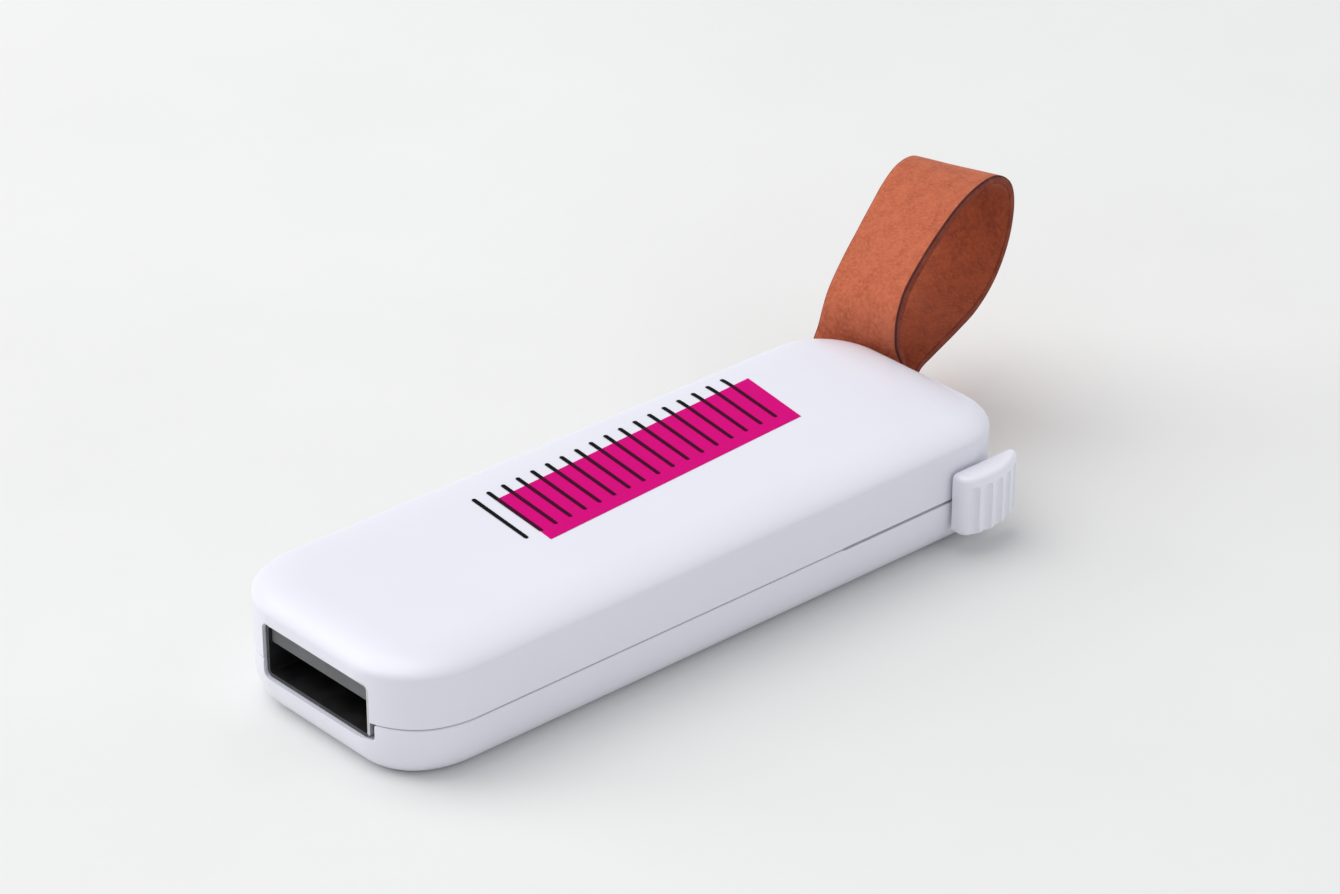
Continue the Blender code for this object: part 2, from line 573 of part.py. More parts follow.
def passive_row(name, place, y, count, material):
    """A short row of chip passives across the board, one node for each."""
    for number in range(count):
        x = PLUG_OFFSET + (number - (count - 1) / 2) * PASSIVE_PITCH
        place(f"{name}_{number + 1}", (x, y), CHIP_PASSIVE_SIZE, material)


# ---------------------------------------------------------------- carriage, arm, slider
def build_carriage():
    """A tray for the board with a narrower saddle for the plug's rear end."""
    tray = slide_block("slide_carriage", (TRAY_LEFT, TRAY_FRONT, TRAY_BOTTOM),
                       (TRAY_RIGHT, TRAY_REAR, TRAY_TOP), WHITE_INNER)
    plug_left = PLUG_OFFSET - PLUG_WIDTH / 2 - SEAT_GAP
    plug_right = PLUG_OFFSET + PLUG_WIDTH / 2 + SEAT_GAP
    saddle = slide_block("saddle", (plug_left - TRAY_WALL, SADDLE_FRONT, TRAY_BOTTOM + FINE_GAP),
                         (plug_right + TRAY_WALL, BOARD_FRONT, TRAY_TOP - FINE_GAP))
    cut(tray, saddle, "UNION")

    inner_left = TRAY_LEFT + TRAY_WALL
    inner_right = TRAY_RIGHT - TRAY_WALL
    board_pocket = slide_block("board_pocket", (inner_left, BOARD_FRONT - SEAT_GAP, BOARD_BOTTOM - SEAT_GAP),
                               (inner_right, TRAY_REAR - TRAY_WALL, TRAY_TOP + WALL))
    under_pocket = slide_block(
        "under_pocket", (inner_left + TRAY_LEDGE, BOARD_FRONT + TRAY_WALL, TRAY_FLOOR_TOP),
        (inner_right - TRAY_LEDGE, TRAY_REAR - 2 * TRAY_WALL, TRAY_TOP + WALL / 2))
    plug_pocket = slide_block("plug_pocket", (plug_left, SADDLE_FRONT - WALL, PLUG_BOTTOM - SEAT_GAP),
                              (plug_right, BOARD_FRONT, TRAY_TOP + 2 * WALL))
    for pocket in (board_pocket, under_pocket, plug_pocket):
        cut(tray, pocket)

    arm_seat = ARM_BOTTOM - SEAT_GAP
    shutter_rear = ARM_FRONT - SEAT_GAP
    shutter = slide_block(
        "shutter", (TRAY_RIGHT - TRAY_WALL / 2, shutter_rear - SHUTTER_LENGTH,
                    PARTING_HEIGHT - SHUTTER_HEIGHT / 2),
        (INNER_HALF_WIDTH - SEAT_GAP, shutter_rear, PARTING_HEIGHT + SHUTTER_HEIGHT / 2))
    arm_left = PLUG_OFFSET + ARM_BLOCK_WIDTH
    arm_block = slide_block("arm_block", (arm_left, TRAY_REAR - TRAY_WALL / 2, TRAY_BOTTOM + FINE_GAP),
                            (arm_left + ARM_BLOCK_WIDTH, TRAY_REAR + ARM_BLOCK_LENGTH, arm_seat))
    cut(tray, shutter, "UNION")
    cut(tray, arm_block, "UNION")
    for side in (-1, 1):
        y = SPRING_CENTRE_Y + side * (SPRING_LENGTH - SPRING_PAD) / 2
        pad = slide_block("spring_pad", (SPRING_SEAT_X, y - SPRING_PAD / 2, ARM_BOTTOM),
                          (inner_left - TRAY_WALL / 3, y + SPRING_PAD / 2, SPRING_BOTTOM + SPRING_HEIGHT))
        cut(tray, pad, "UNION")
    return tray


def build_arm():
    arm_left = PLUG_OFFSET + ARM_BLOCK_WIDTH + SEAT_GAP
    arm = slide_block(
        "slider_arm", (arm_left, TRAY_REAR + SEAT_GAP, ARM_BOTTOM),
        (arm_left + ARM_BLOCK_WIDTH - 2 * SEAT_GAP, ARM_REAR, ARM_TOP), SPRING_STEEL)
    bm = bmesh.new()
    bm.from_mesh(arm.data)
    side = [f for f in bm.faces if f.normal.x > 0.9]
    bmesh.ops.bisect_plane(
        bm, geom=bm.verts[:] + bm.edges[:] + bm.faces[:], plane_no=(0, 1, 0),
        plane_co=(0, ARM_FRONT - (TRAY_REAR + SEAT_GAP + ARM_REAR) / 2, 0))
    side = [f for f in bm.faces if f.normal.x > 0.9]
    blade_side = max(side, key=lambda f: f.calc_center_median().y)
    grown = bmesh.ops.extrude_face_region(bm, geom=[blade_side])
    tip = [g for g in grown["geom"] if isinstance(g, bmesh.types.BMVert)]
    bmesh.ops.delete(bm, geom=[blade_side], context="FACES_ONLY")
    reach = ARM_TIP_X - (arm_left + ARM_BLOCK_WIDTH - 2 * SEAT_GAP)
    bmesh.ops.translate(bm, verts=tip, vec=(reach, 0, 0))
    bmesh.ops.recalc_face_normals(bm, faces=bm.faces)
    bm.to_mesh(arm.data)
    bm.free()
    return arm


def slider_outer_x(y):
    """The slider's outer face is gently crowned along the case and turns in at the rear."""
    fall = (y - SLIDER_FRONT - SLIDER_CROWN_SETBACK) ** 2 / (2 * SLIDER_CROWN_RADIUS)
    return SLIDER_INNER_X + SLIDER_PROUD - fall


def build_thumb_slider():
    steps = 10
    start, end = SLIDER_FRONT + SLIDER_FRONT_ROUND, SLIDER_REAR - SLIDER_REAR_ROUND
    crown = [start + (end - start) * i / steps for i in range(steps + 1)]
    outline = [(SLIDER_INNER_X, SLIDER_FRONT)]
    outline += corner_arc(slider_outer_x(start), start, SLIDER_FRONT_ROUND, -1)
    outline += [(slider_outer_x(y), y) for y in crown]
    outline += reversed(corner_arc(slider_outer_x(end), end, SLIDER_REAR_ROUND, 1))
    outline += [(SLIDER_INNER_X, SLIDER_REAR)]
    bm = bmesh.new()
    verts = [bm.verts.new((x - PLUG_OFFSET, y - PLUG_FRONT, SLIDER_BOTTOM - PLUG_AXIS_HEIGHT))
             for x, y in outline]
    bm.faces.new(verts)
    raised = bmesh.ops.extrude_face_region(bm, geom=bm.faces[:], use_keep_orig=True)
    lifted = [g for g in raised["geom"] if isinstance(g, bmesh.types.BMVert)]
    bmesh.ops.translate(bm, verts=lifted, vec=(0, 0, SLIDER_TOP - SLIDER_BOTTOM))
    bmesh.ops.recalc_face_normals(bm, faces=bm.faces)
    slider = add_object("thumb_slider", bm, WHITE_SHELL, plug_axis)
    round_edges(slider, SLIDER_RIM_ROUND, 3, 60.0)
    for number in range(FLUTE_COUNT):
        y = SLIDER_FRONT + FLUTE_SETBACK + number * FLUTE_PITCH
        flute = rod("flute", FLUTE_RADIUS, SLIDER_BOTTOM - WALL - PLUG_AXIS_HEIGHT,
                    SLIDER_TOP - FLUTE_TOP_MARGIN - PLUG_AXIS_HEIGHT,
                    (slider_outer_x(y) + FLUTE_LIFT - PLUG_OFFSET, y - PLUG_FRONT), parent=plug_axis,
                    segments=16)
        cut(slider, flute)
    pocket = slide_block(
        "arm_pocket", (SLIDER_INNER_X - WALL, ARM_FRONT - SEAT_GAP, PARTING_HEIGHT - SLOT_HEIGHT / 2),
        (ARM_TIP_X + SEAT_GAP, ARM_REAR + SEAT_GAP, PARTING_HEIGHT + SLOT_HEIGHT / 2))
    cut(slider, pocket)
    return slider


def corner_arc(edge_x, edge_y, radius, side):
    """Quarter circle from the slider's end face to its outer face, without its last point."""
    centre_x = edge_x - radius
    arc = []
    for step in range(4):
        turn = math.pi / 2 * step / 4
        arc.append((centre_x + radius * math.sin(turn), edge_y + side * radius * math.cos(turn)))
    return arc


# ---------------------------------------------------------------- detent spring
def build_detent_spring():
    """A bowed leaf whose middle reaches towards the ridges on the upper shell's wall."""
    steps = 12
    half = SPRING_LENGTH / 2
    bm = bmesh.new()
    verts = []
    for i in range(steps + 1):
        along = -half + SPRING_LENGTH * i / steps
        bow = SPRING_BOW * math.cos(math.pi * along / (2 * half)) ** 2
        verts.append(bm.verts.new((SPRING_FACE_X - bow - PLUG_OFFSET,
                                   SPRING_CENTRE_Y + along - PLUG_FRONT,
                                   SPRING_BOTTOM - PLUG_AXIS_HEIGHT)))
    edges = [bm.edges.new(pair) for pair in zip(verts, verts[1:])]
    raised = bmesh.ops.extrude_edge_only(bm, edges=edges)
    lifted = [g for g in raised["geom"] if isinstance(g, bmesh.types.BMVert)]
    bmesh.ops.translate(bm, verts=lifted, vec=(0, 0, SPRING_HEIGHT))
    bmesh.ops.recalc_face_normals(bm, faces=bm.faces)
    spring = add_object("detent_spring", bm, SPRING_STEEL, plug_axis)
    sheet = spring.modifiers.new("sheet", "SOLIDIFY")
    sheet.thickness = SPRING_SHEET
    sheet.offset = 0
    return spring


# ---------------------------------------------------------------- strap
def smooth_route(points, steps):
    """A Catmull-Rom curve through route points."""
    padded = [2 * Vector(points[0]) - Vector(points[1]), *map(Vector, points),
              2 * Vector(points[-1]) - Vector(points[-2])]
    route = []
    for i in range(1, len(padded) - 2):
        a, b, c, d = padded[i - 1:i + 3]
        for step in range(steps):
            t = step / steps
            route.append(0.5 * (2 * b + (c - a) * t + (2 * a - 5 * b + 4 * c - d) * t * t
                                + (3 * b - a - 3 * c + d) * t ** 3))
    route.append(padded[-2])
    return route


def build_strap_loop():
    right = smooth_route(LOOP_RIGHT, LOOP_STEPS)
    left = smooth_route(LOOP_LEFT, LOOP_STEPS)
    bm = bmesh.new()
    rows = []
    for left_point, right_point in zip(left, right):
        row = []
        for strip in range(STRAP_STRIPS + 1):
            share = strip / STRAP_STRIPS
            out, up = left_point.lerp(right_point, share) * MM
            row.append(bm.verts.new(((share - 0.5) * STRAP_WIDTH, out - STRAP_PIVOT_OUT,
                                     up - STRAP_HEIGHT)))
        rows.append([bm.edges.new(pair) for pair in zip(row, row[1:])])
    for near, far in zip(rows, rows[1:]):
        bmesh.ops.bridge_loops(bm, edges=near + far)
    bmesh.ops.recalc_face_normals(bm, faces=bm.faces)
    loop = add_object("strap_loop", bm, TAN_LEATHER, strap_pivot)
    leather = loop.modifiers.new("leather", "SOLIDIFY")
    leather.thickness = STRAP_THICKNESS
    leather.offset = 0
    return loop


def build_strap_root():
    """The strap's two ends, one over the other, inside the case."""
    half = STRAP_WIDTH / 2
    near = STRAP_OUT - SEAT_GAP
    far = STRAP_OUT - STRAP_ROOT_DEPTH
    for name, centre in (("strap_end_upper", STRAP_PLY_OFFSET), ("strap_end_lower", -STRAP_PLY_OFFSET)):
        ply = block(name, (-half, far, centre - STRAP_THICKNESS / 2),
                    (half, near, centre + STRAP_THICKNESS / 2), TAN_LEATHER, strap_pivot)
        hole = rod(name + "_hole", STRAP_PIN_RADIUS + SEAT_GAP, -2 * STRAP_THICKNESS + centre,
                   2 * STRAP_THICKNESS + centre, (0, STRAP_OUT - STRAP_PIN_DEPTH), parent=strap_pivot)
        cut(ply, hole)
    low = WALL + 2 * SEAT_GAP - STRAP_HEIGHT
    high = CEILING - 2 * SEAT_GAP - STRAP_HEIGHT
    pin = rod("strap_pin", STRAP_PIN_RADIUS, low, high, (0, STRAP_OUT - STRAP_PIN_DEPTH), SPRING_STEEL,
              strap_pivot)
    round_edges(pin, 0.15 * MM, 2)


build_upper_case()
build_lower_case()
build_plug_shell()
build_tongue()
build_contacts()
build_board()
build_carriage()
build_arm()
build_thumb_slider()
build_detent_spring()
build_strap_loop()
build_strap_root()
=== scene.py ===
import json
import math

import bmesh
import bpy
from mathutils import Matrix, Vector, noise
from mathutils.bvhtree import BVHTree


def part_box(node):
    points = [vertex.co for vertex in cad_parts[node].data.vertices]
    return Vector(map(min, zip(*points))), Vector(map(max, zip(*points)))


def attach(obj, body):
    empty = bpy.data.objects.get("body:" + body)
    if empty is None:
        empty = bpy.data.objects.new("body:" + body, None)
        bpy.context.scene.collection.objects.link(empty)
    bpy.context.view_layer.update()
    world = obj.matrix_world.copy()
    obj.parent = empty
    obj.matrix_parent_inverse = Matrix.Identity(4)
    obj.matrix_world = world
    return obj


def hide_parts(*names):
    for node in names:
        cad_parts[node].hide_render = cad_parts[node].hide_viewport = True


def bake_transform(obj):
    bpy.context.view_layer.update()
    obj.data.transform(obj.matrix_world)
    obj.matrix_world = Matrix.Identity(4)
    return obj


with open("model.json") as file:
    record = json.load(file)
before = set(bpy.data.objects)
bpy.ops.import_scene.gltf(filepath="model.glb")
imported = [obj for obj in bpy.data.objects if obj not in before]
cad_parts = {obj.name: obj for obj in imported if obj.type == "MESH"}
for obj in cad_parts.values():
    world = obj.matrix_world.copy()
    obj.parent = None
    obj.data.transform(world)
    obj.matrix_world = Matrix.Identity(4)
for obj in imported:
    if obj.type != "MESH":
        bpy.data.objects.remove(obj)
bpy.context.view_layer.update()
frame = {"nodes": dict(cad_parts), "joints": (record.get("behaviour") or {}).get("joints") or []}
mm = 0.001
print("frame loaded:", len(frame["nodes"]), "nodes")

# The case's own sizes, read off the upper shell of the frame.
case = {
    "halfWidth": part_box("upper_case")[1][0],
    "halfLength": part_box("upper_case")[1][1],
    "height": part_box("upper_case")[1][2],
    "wall": 1.4 * mm,
    "frontCorner": (6.1 * mm, 7.2 * mm),
    "rearCorner": (6.0 * mm, 5.4 * mm),
    "cornerSteps": 18,
    "topEdge": (4.3 * mm, 1.3 * mm),
    "bottomEdge": (2.4 * mm, 3.5 * mm),
    "edgeSteps": 14,
    "parting": 4.5 * mm,
    "partingGap": 0.08 * mm,
    "partingRound": 0.12 * mm,
    "lipInset": 0.85 * mm,
    "lipDepth": 1.0 * mm,
    "lipStep": 0.15 * mm,      # bevel of the lip's end, and its clearance in the lower shell
    "seatGap": 0.25 * mm,
    "draft": 0.03 * mm,        # slope of the flat lands round the rim
    "softEdge": 0.10 * mm,
    "frontEase": (0.40 * mm, 4.0 * mm),    # how far the front end draws back, and over what length
}
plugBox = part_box("plug_shell")
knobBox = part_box("thumb_slider")
plugMiddleX = (plugBox[0][0] + plugBox[1][0]) / 2

# The print on the top: corners and ends of strokes are (to the right, backwards), in millimetres.
printing = {
    "panelCorners": ((-5.30, -8.52), (-7.10, 18.81), (0.32, 17.58), (2.02, -9.43)),
    "firstBar": ((-6.33, -9.91), (0.56, -10.62)),
    "lastBar": ((-8.34, 17.17), (-1.03, 16.07)),
    "bars": 18,
    "barWidth": 0.37 * mm,
    "barCuts": 12,
    "panelCuts": (24, 60),
    "film": 0.018 * mm,
    "panelLift": 0.014 * mm,
    "barLift": 0.036 * mm,     # above the panel's film
    "spread": 0.046,           # the bars stand a little closer together towards the front
}


# Small tools that every piece uses.

def makeObject(name, bm, materials=()):
    mesh = bpy.data.meshes.new(name)
    bm.to_mesh(mesh)
    bm.free()
    obj = bpy.data.objects.new(name, mesh)
    bpy.context.scene.collection.objects.link(obj)
    for material in materials:
        mesh.materials.append(material)
    return obj


def applyModifiers(obj):
    depsgraph = bpy.context.evaluated_depsgraph_get()
    mesh = bpy.data.meshes.new_from_object(obj.evaluated_get(depsgraph))
    mesh.name = obj.name
    obj.modifiers.clear()
    obj.data = mesh


def cutAway(obj, cutters):
    for cutter in cutters:
        modifier = obj.modifiers.new("cut", "BOOLEAN")
        modifier.operation = "DIFFERENCE"
        modifier.object = cutter
        modifier.solver = "EXACT"
    applyModifiers(obj)


def removeObjects(objects):
    for obj in objects:
        bpy.data.objects.remove(obj, do_unlink=True)


def softenEdges(obj, width, segments, angle, material=-1):
    modifier = obj.modifiers.new("soft edges", "BEVEL")
    modifier.width = width
    modifier.segments = segments
    modifier.limit_method = "ANGLE"
    modifier.angle_limit = math.radians(angle)
    modifier.use_clamp_overlap = True
    modifier.material = material
    applyModifiers(obj)


def shadeSmooth(obj, sharpAngle):
    obj.data.shade_smooth()
    obj.data.set_sharp_from_angle(angle=math.radians(sharpAngle))
    modifier = obj.modifiers.new("even shading", "WEIGHTED_NORMAL")
    modifier.keep_sharp = True
    modifier.weight = 50
    applyModifiers(obj)


def boxMesh(low, high, roundAlong=None, radius=0.0, segments=5):
    low, high = Vector(low), Vector(high)
    bm = bmesh.new()
    bmesh.ops.create_cube(bm, size=1.0)
    bmesh.ops.scale(bm, vec=high - low, verts=bm.verts)
    bmesh.ops.translate(bm, vec=(low + high) / 2, verts=bm.verts)
    if roundAlong is not None:
        edges = [e for e in bm.edges
                 if abs((e.verts[0].co - e.verts[1].co).normalized()[roundAlong]) > 0.9]
        bmesh.ops.bevel(bm, geom=edges, offset=radius, segments=segments, profile=0.5,
                        affect="EDGES", material=-1)
    return bm


def boxCutter(name, low, high, roundAlong=None, radius=0.0):
    return makeObject(name, boxMesh(low, high, roundAlong, radius))


# Small tools for the materials.

def startMaterial(name, color, roughness, **sockets):
    material = bpy.data.materials.new(name)
    material.use_nodes = True
    shader = material.node_tree.nodes["Principled BSDF"]
    shader.inputs["Base Color"].default_value = (*color, 1.0)
    shader.inputs["Roughness"].default_value = roughness
    for socket, value in sockets.items():
        shader.inputs[socket].default_value = value
    material.diffuse_color = (*color, 1.0)
    return material, material.node_tree, shader


def objectCoords(tree, stretch=(1, 1, 1), turn=(0, 0, 0)):
    coords = tree.nodes.new("ShaderNodeTexCoord")
    mapping = tree.nodes.new("ShaderNodeMapping")
    mapping.inputs["Scale"].default_value = stretch
    mapping.inputs["Rotation"].default_value = turn
    tree.links.new(coords.outputs["Object"], mapping.inputs["Vector"])
    return mapping.outputs["Vector"]


def noiseValue(tree, coords, scale, detail=3.0, rough=0.5):
    texture = tree.nodes.new("ShaderNodeTexNoise")
    texture.inputs["Scale"].default_value = scale
    texture.inputs["Detail"].default_value = detail
    texture.inputs["Roughness"].default_value = rough
    tree.links.new(coords, texture.inputs["Vector"])
    return texture.outputs["Fac"]


def remap(tree, value, low, high, fromLow=0.3, fromHigh=0.7):
    node = tree.nodes.new("ShaderNodeMapRange")
    node.inputs["From Min"].default_value = fromLow
    node.inputs["From Max"].default_value = fromHigh
    node.inputs["To Min"].default_value = low
    node.inputs["To Max"].default_value = high
    tree.links.new(value, node.inputs["Value"])
    return node.outputs["Result"]


def mixColors(tree, factor, first, second):
    node = tree.nodes.new("ShaderNodeMix")
    node.data_type = "RGBA"
    tree.links.new(factor, node.inputs["Factor"])
    for socket, color in (("A", first), ("B", second)):
        entry = next(i for i in node.inputs if i.name == socket and i.type == "RGBA")
        if isinstance(color, tuple):
            entry.default_value = (*color, 1.0)
        else:
            tree.links.new(color, entry)
    return next(o for o in node.outputs if o.type == "RGBA")


def addBump(tree, shader, height, strength, distance, below=None):
    node = tree.nodes.new("ShaderNodeBump")
    node.inputs["Strength"].default_value = strength
    node.inputs["Distance"].default_value = distance
    tree.links.new(height, node.inputs["Height"])
    if below is not None:
        tree.links.new(below.outputs["Normal"], node.inputs["Normal"])
    tree.links.new(node.outputs["Normal"], shader.inputs["Normal"])
    return node


# The finishes.

def mouldedWhite(name, color, shadeColor, roughness, grain):
    # Satin plastic: broad unevenness of the moulding under a fine spark-eroded grain.
    material, tree, shader = startMaterial(name, color, roughness)
    shader.inputs["IOR"].default_value = 1.53
    shader.inputs["Coat Weight"].default_value = 0.12
    shader.inputs["Coat Roughness"].default_value = 0.22
    coords = objectCoords(tree)
    cloud = noiseValue(tree, coords, 90, 2.0)
    tone = mixColors(tree, remap(tree, cloud, 0.0, 1.0), shadeColor, color)
    tree.links.new(tone, shader.inputs["Base Color"])
    speck = noiseValue(tree, coords, 2600, 4.0)
    tree.links.new(remap(tree, speck, roughness - 0.05, roughness + 0.07),
                   shader.inputs["Roughness"])
    sink = addBump(tree, shader, cloud, 0.10, 0.05 * mm)
    addBump(tree, shader, speck, grain, 0.02 * mm, sink)
    return material


def brushedMetal(name, color, dark, roughness, stretch):
    material, tree, shader = startMaterial(name, color, roughness, Metallic=1.0)
    coords = objectCoords(tree, stretch)
    lines = noiseValue(tree, coords, 900, 5.0, 0.65)
    stain = noiseValue(tree, objectCoords(tree), 260, 3.0)
    tone = mixColors(tree, remap(tree, stain, 0.0, 1.0, 0.25, 0.7), dark, color)
    tree.links.new(tone, shader.inputs["Base Color"])
    tree.links.new(remap(tree, lines, roughness - 0.07, roughness + 0.12),
                   shader.inputs["Roughness"])
    addBump(tree, shader, lines, 0.12, 0.006 * mm)
    return material


def dullPlastic(name, color, light, roughness, grainScale=1800, grain=0.35):
    material, tree, shader = startMaterial(name, color, roughness)
    coords = objectCoords(tree)
    cloud = noiseValue(tree, coords, 420, 3.0)
    tree.links.new(mixColors(tree, remap(tree, cloud, 0.0, 1.0), color, light),
                   shader.inputs["Base Color"])
    speck = noiseValue(tree, coords, grainScale, 4.0)
    tree.links.new(remap(tree, speck, roughness - 0.06, roughness + 0.08),
                   shader.inputs["Roughness"])
    addBump(tree, shader, speck, grain, 0.02 * mm)
    return material


def printedInk(name, color, edgeColor):
    # Pad-printed ink: nearly flat colour, with the faint mottle of the pad.
    material, tree, shader = startMaterial(name, color, 0.5)
    shader.inputs["Specular IOR Level"].default_value = 0.04
    coords = objectCoords(tree)
    mottle = noiseValue(tree, coords, 1500, 4.0)
    tree.links.new(mixColors(tree, remap(tree, mottle, 0.0, 1.0), edgeColor, color),
                   shader.inputs["Base Color"])
    tree.links.new(remap(tree, mottle, 0.44, 0.58), shader.inputs["Roughness"])
    addBump(tree, shader, mottle, 0.15, 0.01 * mm)
    return material


def barInkOverPanel():
    # Black ink lets a little of the panel's red through where it crosses it.
    black = (0.004, 0.004, 0.005)
    material, tree, shader = startMaterial("barInk", black, 0.5)
    shader.inputs["Specular IOR Level"].default_value = 0.04
    near, far = printing["panelCorners"][:2]
    lean = (near[0] - far[0]) / (far[1] - near[1])
    place = tree.nodes.new("ShaderNodeSeparateXYZ")
    tree.links.new(objectCoords(tree), place.inputs["Vector"])
    slant = tree.nodes.new("ShaderNodeMath")
    slant.operation = "MULTIPLY_ADD"
    slant.inputs[1].default_value = lean
    tree.links.new(place.outputs["Y"], slant.inputs[0])
    tree.links.new(place.outputs["X"], slant.inputs[2])
    border, blur = (near[0] + lean * near[1]) * mm, 0.03 * mm
    side = remap(tree, slant.outputs["Value"], 0.0, 1.0, border - blur, border + blur)
    # The first bar stands clear in front of the panel, so the change to plain black lies between.
    clear, blur = (near[1] - 0.95) * mm, 0.05 * mm
    front = remap(tree, place.outputs["Y"], 0.0, 1.0, clear - blur, clear + blur)
    both = tree.nodes.new("ShaderNodeMath")
    both.operation = "MULTIPLY"
    tree.links.new(side, both.inputs[0])
    tree.links.new(front, both.inputs[1])
    mottle = noiseValue(tree, objectCoords(tree), 1500, 4.0)
    through = mixColors(tree, remap(tree, mottle, 0.0, 1.0),
                        (0.040, 0.001, 0.014), (0.055, 0.001, 0.018))
    tree.links.new(mixColors(tree, both.outputs["Value"], black, through),
                   shader.inputs["Base Color"])
    tree.links.new(remap(tree, mottle, 0.44, 0.58), shader.inputs["Roughness"])
    addBump(tree, shader, mottle, 0.15, 0.01 * mm)
    return material


def suede(name, light, middle, dark):
    # Brushed leather: clouded dye, short fibres lying all ways, small pores.
    material, tree, shader = startMaterial(name, middle, 0.86)
    shader.inputs["Sheen Weight"].default_value = 0.22
    shader.inputs["Sheen Roughness"].default_value = 0.45
    shader.inputs["Sheen Tint"].default_value = (1.0, 0.62, 0.42, 1.0)
    shader.inputs["Specular IOR Level"].default_value = 0.25
    coords = objectCoords(tree)
    cloud = noiseValue(tree, coords, 760, 5.0, 0.62)
    fibre = noiseValue(tree, objectCoords(tree, (1.0, 2.2, 0.8), (0.4, 0.2, 0.9)), 2600, 6.0, 0.7)
    pores = tree.nodes.new("ShaderNodeTexVoronoi")
    pores.inputs["Scale"].default_value = 3200
    tree.links.new(coords, pores.inputs["Vector"])
    dyed = mixColors(tree, remap(tree, cloud, 0.0, 1.0, 0.36, 0.64), dark, middle)
    raised = mixColors(tree, remap(tree, fibre, 0.0, 0.8, 0.38, 0.68), dyed, light)
    tree.links.new(raised, shader.inputs["Base Color"])
    tree.links.new(remap(tree, fibre, 0.78, 0.95), shader.inputs["Roughness"])
    nap = addBump(tree, shader, fibre, 0.7, 0.09 * mm)
    nap = addBump(tree, shader, pores.outputs["Distance"], 0.35, 0.04 * mm, nap)
    addBump(tree, shader, cloud, 0.4, 0.12 * mm, nap)
    return material


def cutLeatherEdge(name, dark, middle, light):
    # The cut edge shows the packed fibre layers, darker and duller than the face.
    material, tree, shader = startMaterial(name, middle, 0.85)
    shader.inputs["Specular IOR Level"].default_value = 0.15
    coords = objectCoords(tree)
    layers = noiseValue(tree, coords, 2400, 6.0, 0.7)
    patches = noiseValue(tree, coords, 500, 2.0)
    tone = mixColors(tree, remap(tree, layers, 0.0, 1.0), dark, middle)
    worn = mixColors(tree, remap(tree, patches, 0.0, 0.6, 0.5, 0.75), tone, light)
    tree.links.new(worn, shader.inputs["Base Color"])
    addBump(tree, shader, layers, 0.8, 0.08 * mm)
    return material


def solderMask():
    # Green board: copper tracks show as slightly raised, lighter lanes under the mask.
    material, tree, shader = startMaterial("solderMask", (0.02, 0.16, 0.07), 0.32)
    shader.inputs["Coat Weight"].default_value = 0.3
    coords = objectCoords(tree)
    lanes = tree.nodes.new("ShaderNodeTexBrick")
    lanes.inputs["Scale"].default_value = 420
    lanes.inputs["Color1"].default_value = (0.03, 0.24, 0.10, 1.0)
    lanes.inputs["Color2"].default_value = (0.02, 0.17, 0.075, 1.0)
    lanes.inputs["Mortar"].default_value = (0.012, 0.10, 0.045, 1.0)
    lanes.inputs["Mortar Size"].default_value = 0.03
    tree.links.new(coords, lanes.inputs["Vector"])
    tree.links.new(lanes.outputs["Color"], shader.inputs["Base Color"])
    addBump(tree, shader, lanes.outputs["Fac"], 0.4, 0.02 * mm)
    return material


def plaster():
    material, tree, shader = startMaterial("plaster", (0.83, 0.83, 0.81), 0.9)
    coords = objectCoords(tree)
    cloud = noiseValue(tree, coords, 14, 5.0, 0.6)
    tone = mixColors(tree, remap(tree, cloud, 0.0, 1.0), (0.80, 0.80, 0.78), (0.84, 0.84, 0.82))
    tree.links.new(tone, shader.inputs["Base Color"])
    sand = noiseValue(tree, coords, 900, 5.0, 0.7)
    addBump(tree, shader, sand, 0.12, 0.15 * mm)
    return material


shellWhite = mouldedWhite("shellWhite", (0.815, 0.817, 0.885), (0.800, 0.802, 0.872), 0.34, 0.10)
gripWhite = mouldedWhite("gripWhite", (0.885, 0.887, 0.950), (0.868, 0.870, 0.935), 0.34, 0.10)
carriageWhite = mouldedWhite("carriageWhite", (0.76, 0.765, 0.80), (0.73, 0.735, 0.775), 0.48, 0.25)
platedSteel = brushedMetal("platedSteel", (0.68, 0.68, 0.69), (0.52, 0.52, 0.54),
                           0.24, (1, 0.06, 1))
springSteel = brushedMetal("springSteel", (0.55, 0.55, 0.57), (0.40, 0.40, 0.42),
                           0.30, (0.08, 1, 1))
canSteel = brushedMetal("canSteel", (0.70, 0.70, 0.70), (0.55, 0.55, 0.56),
                        0.28, (0.1, 1, 1))
contactGold = brushedMetal("contactGold", (0.86, 0.63, 0.25), (0.70, 0.47, 0.16),
                           0.22, (1, 0.05, 1))
# A near-black copy of the plated steel: painted shade for the inside of the plug's sleeve.
paintedShadeSteel = brushedMetal("paintedShadeSteel", (0.12, 0.12, 0.13), (0.07, 0.07, 0.075),
                            0.46, (1, 0.3, 1))
tongueGrey = dullPlastic("tongueGrey", (0.100, 0.105, 0.110), (0.125, 0.130, 0.136), 0.48)
moulding = dullPlastic("chipMoulding", (0.016, 0.016, 0.018), (0.030, 0.030, 0.033), 0.50,
                       grainScale=2600, grain=0.6)
ceramic = dullPlastic("firedCeramic", (0.42, 0.33, 0.24), (0.52, 0.42, 0.32), 0.45)
lensBlue = dullPlastic("lensBlue", (0.28, 0.48, 0.86), (0.40, 0.60, 0.95), 0.18,
                       grainScale=900, grain=0.1)
boardGreen = solderMask()
tanSuede = suede("tanSuede", (0.625, 0.170, 0.084), (0.50, 0.118, 0.054), (0.37, 0.078, 0.034))
# A darker copy of the suede for the loop's inner face: partly the flesh side's own tone, partly
# painted shade inside the loop.
fleshAndShadeSuede = suede("fleshAndShadeSuede", (0.50, 0.118, 0.050), (0.39, 0.084, 0.034), (0.26, 0.052, 0.024))
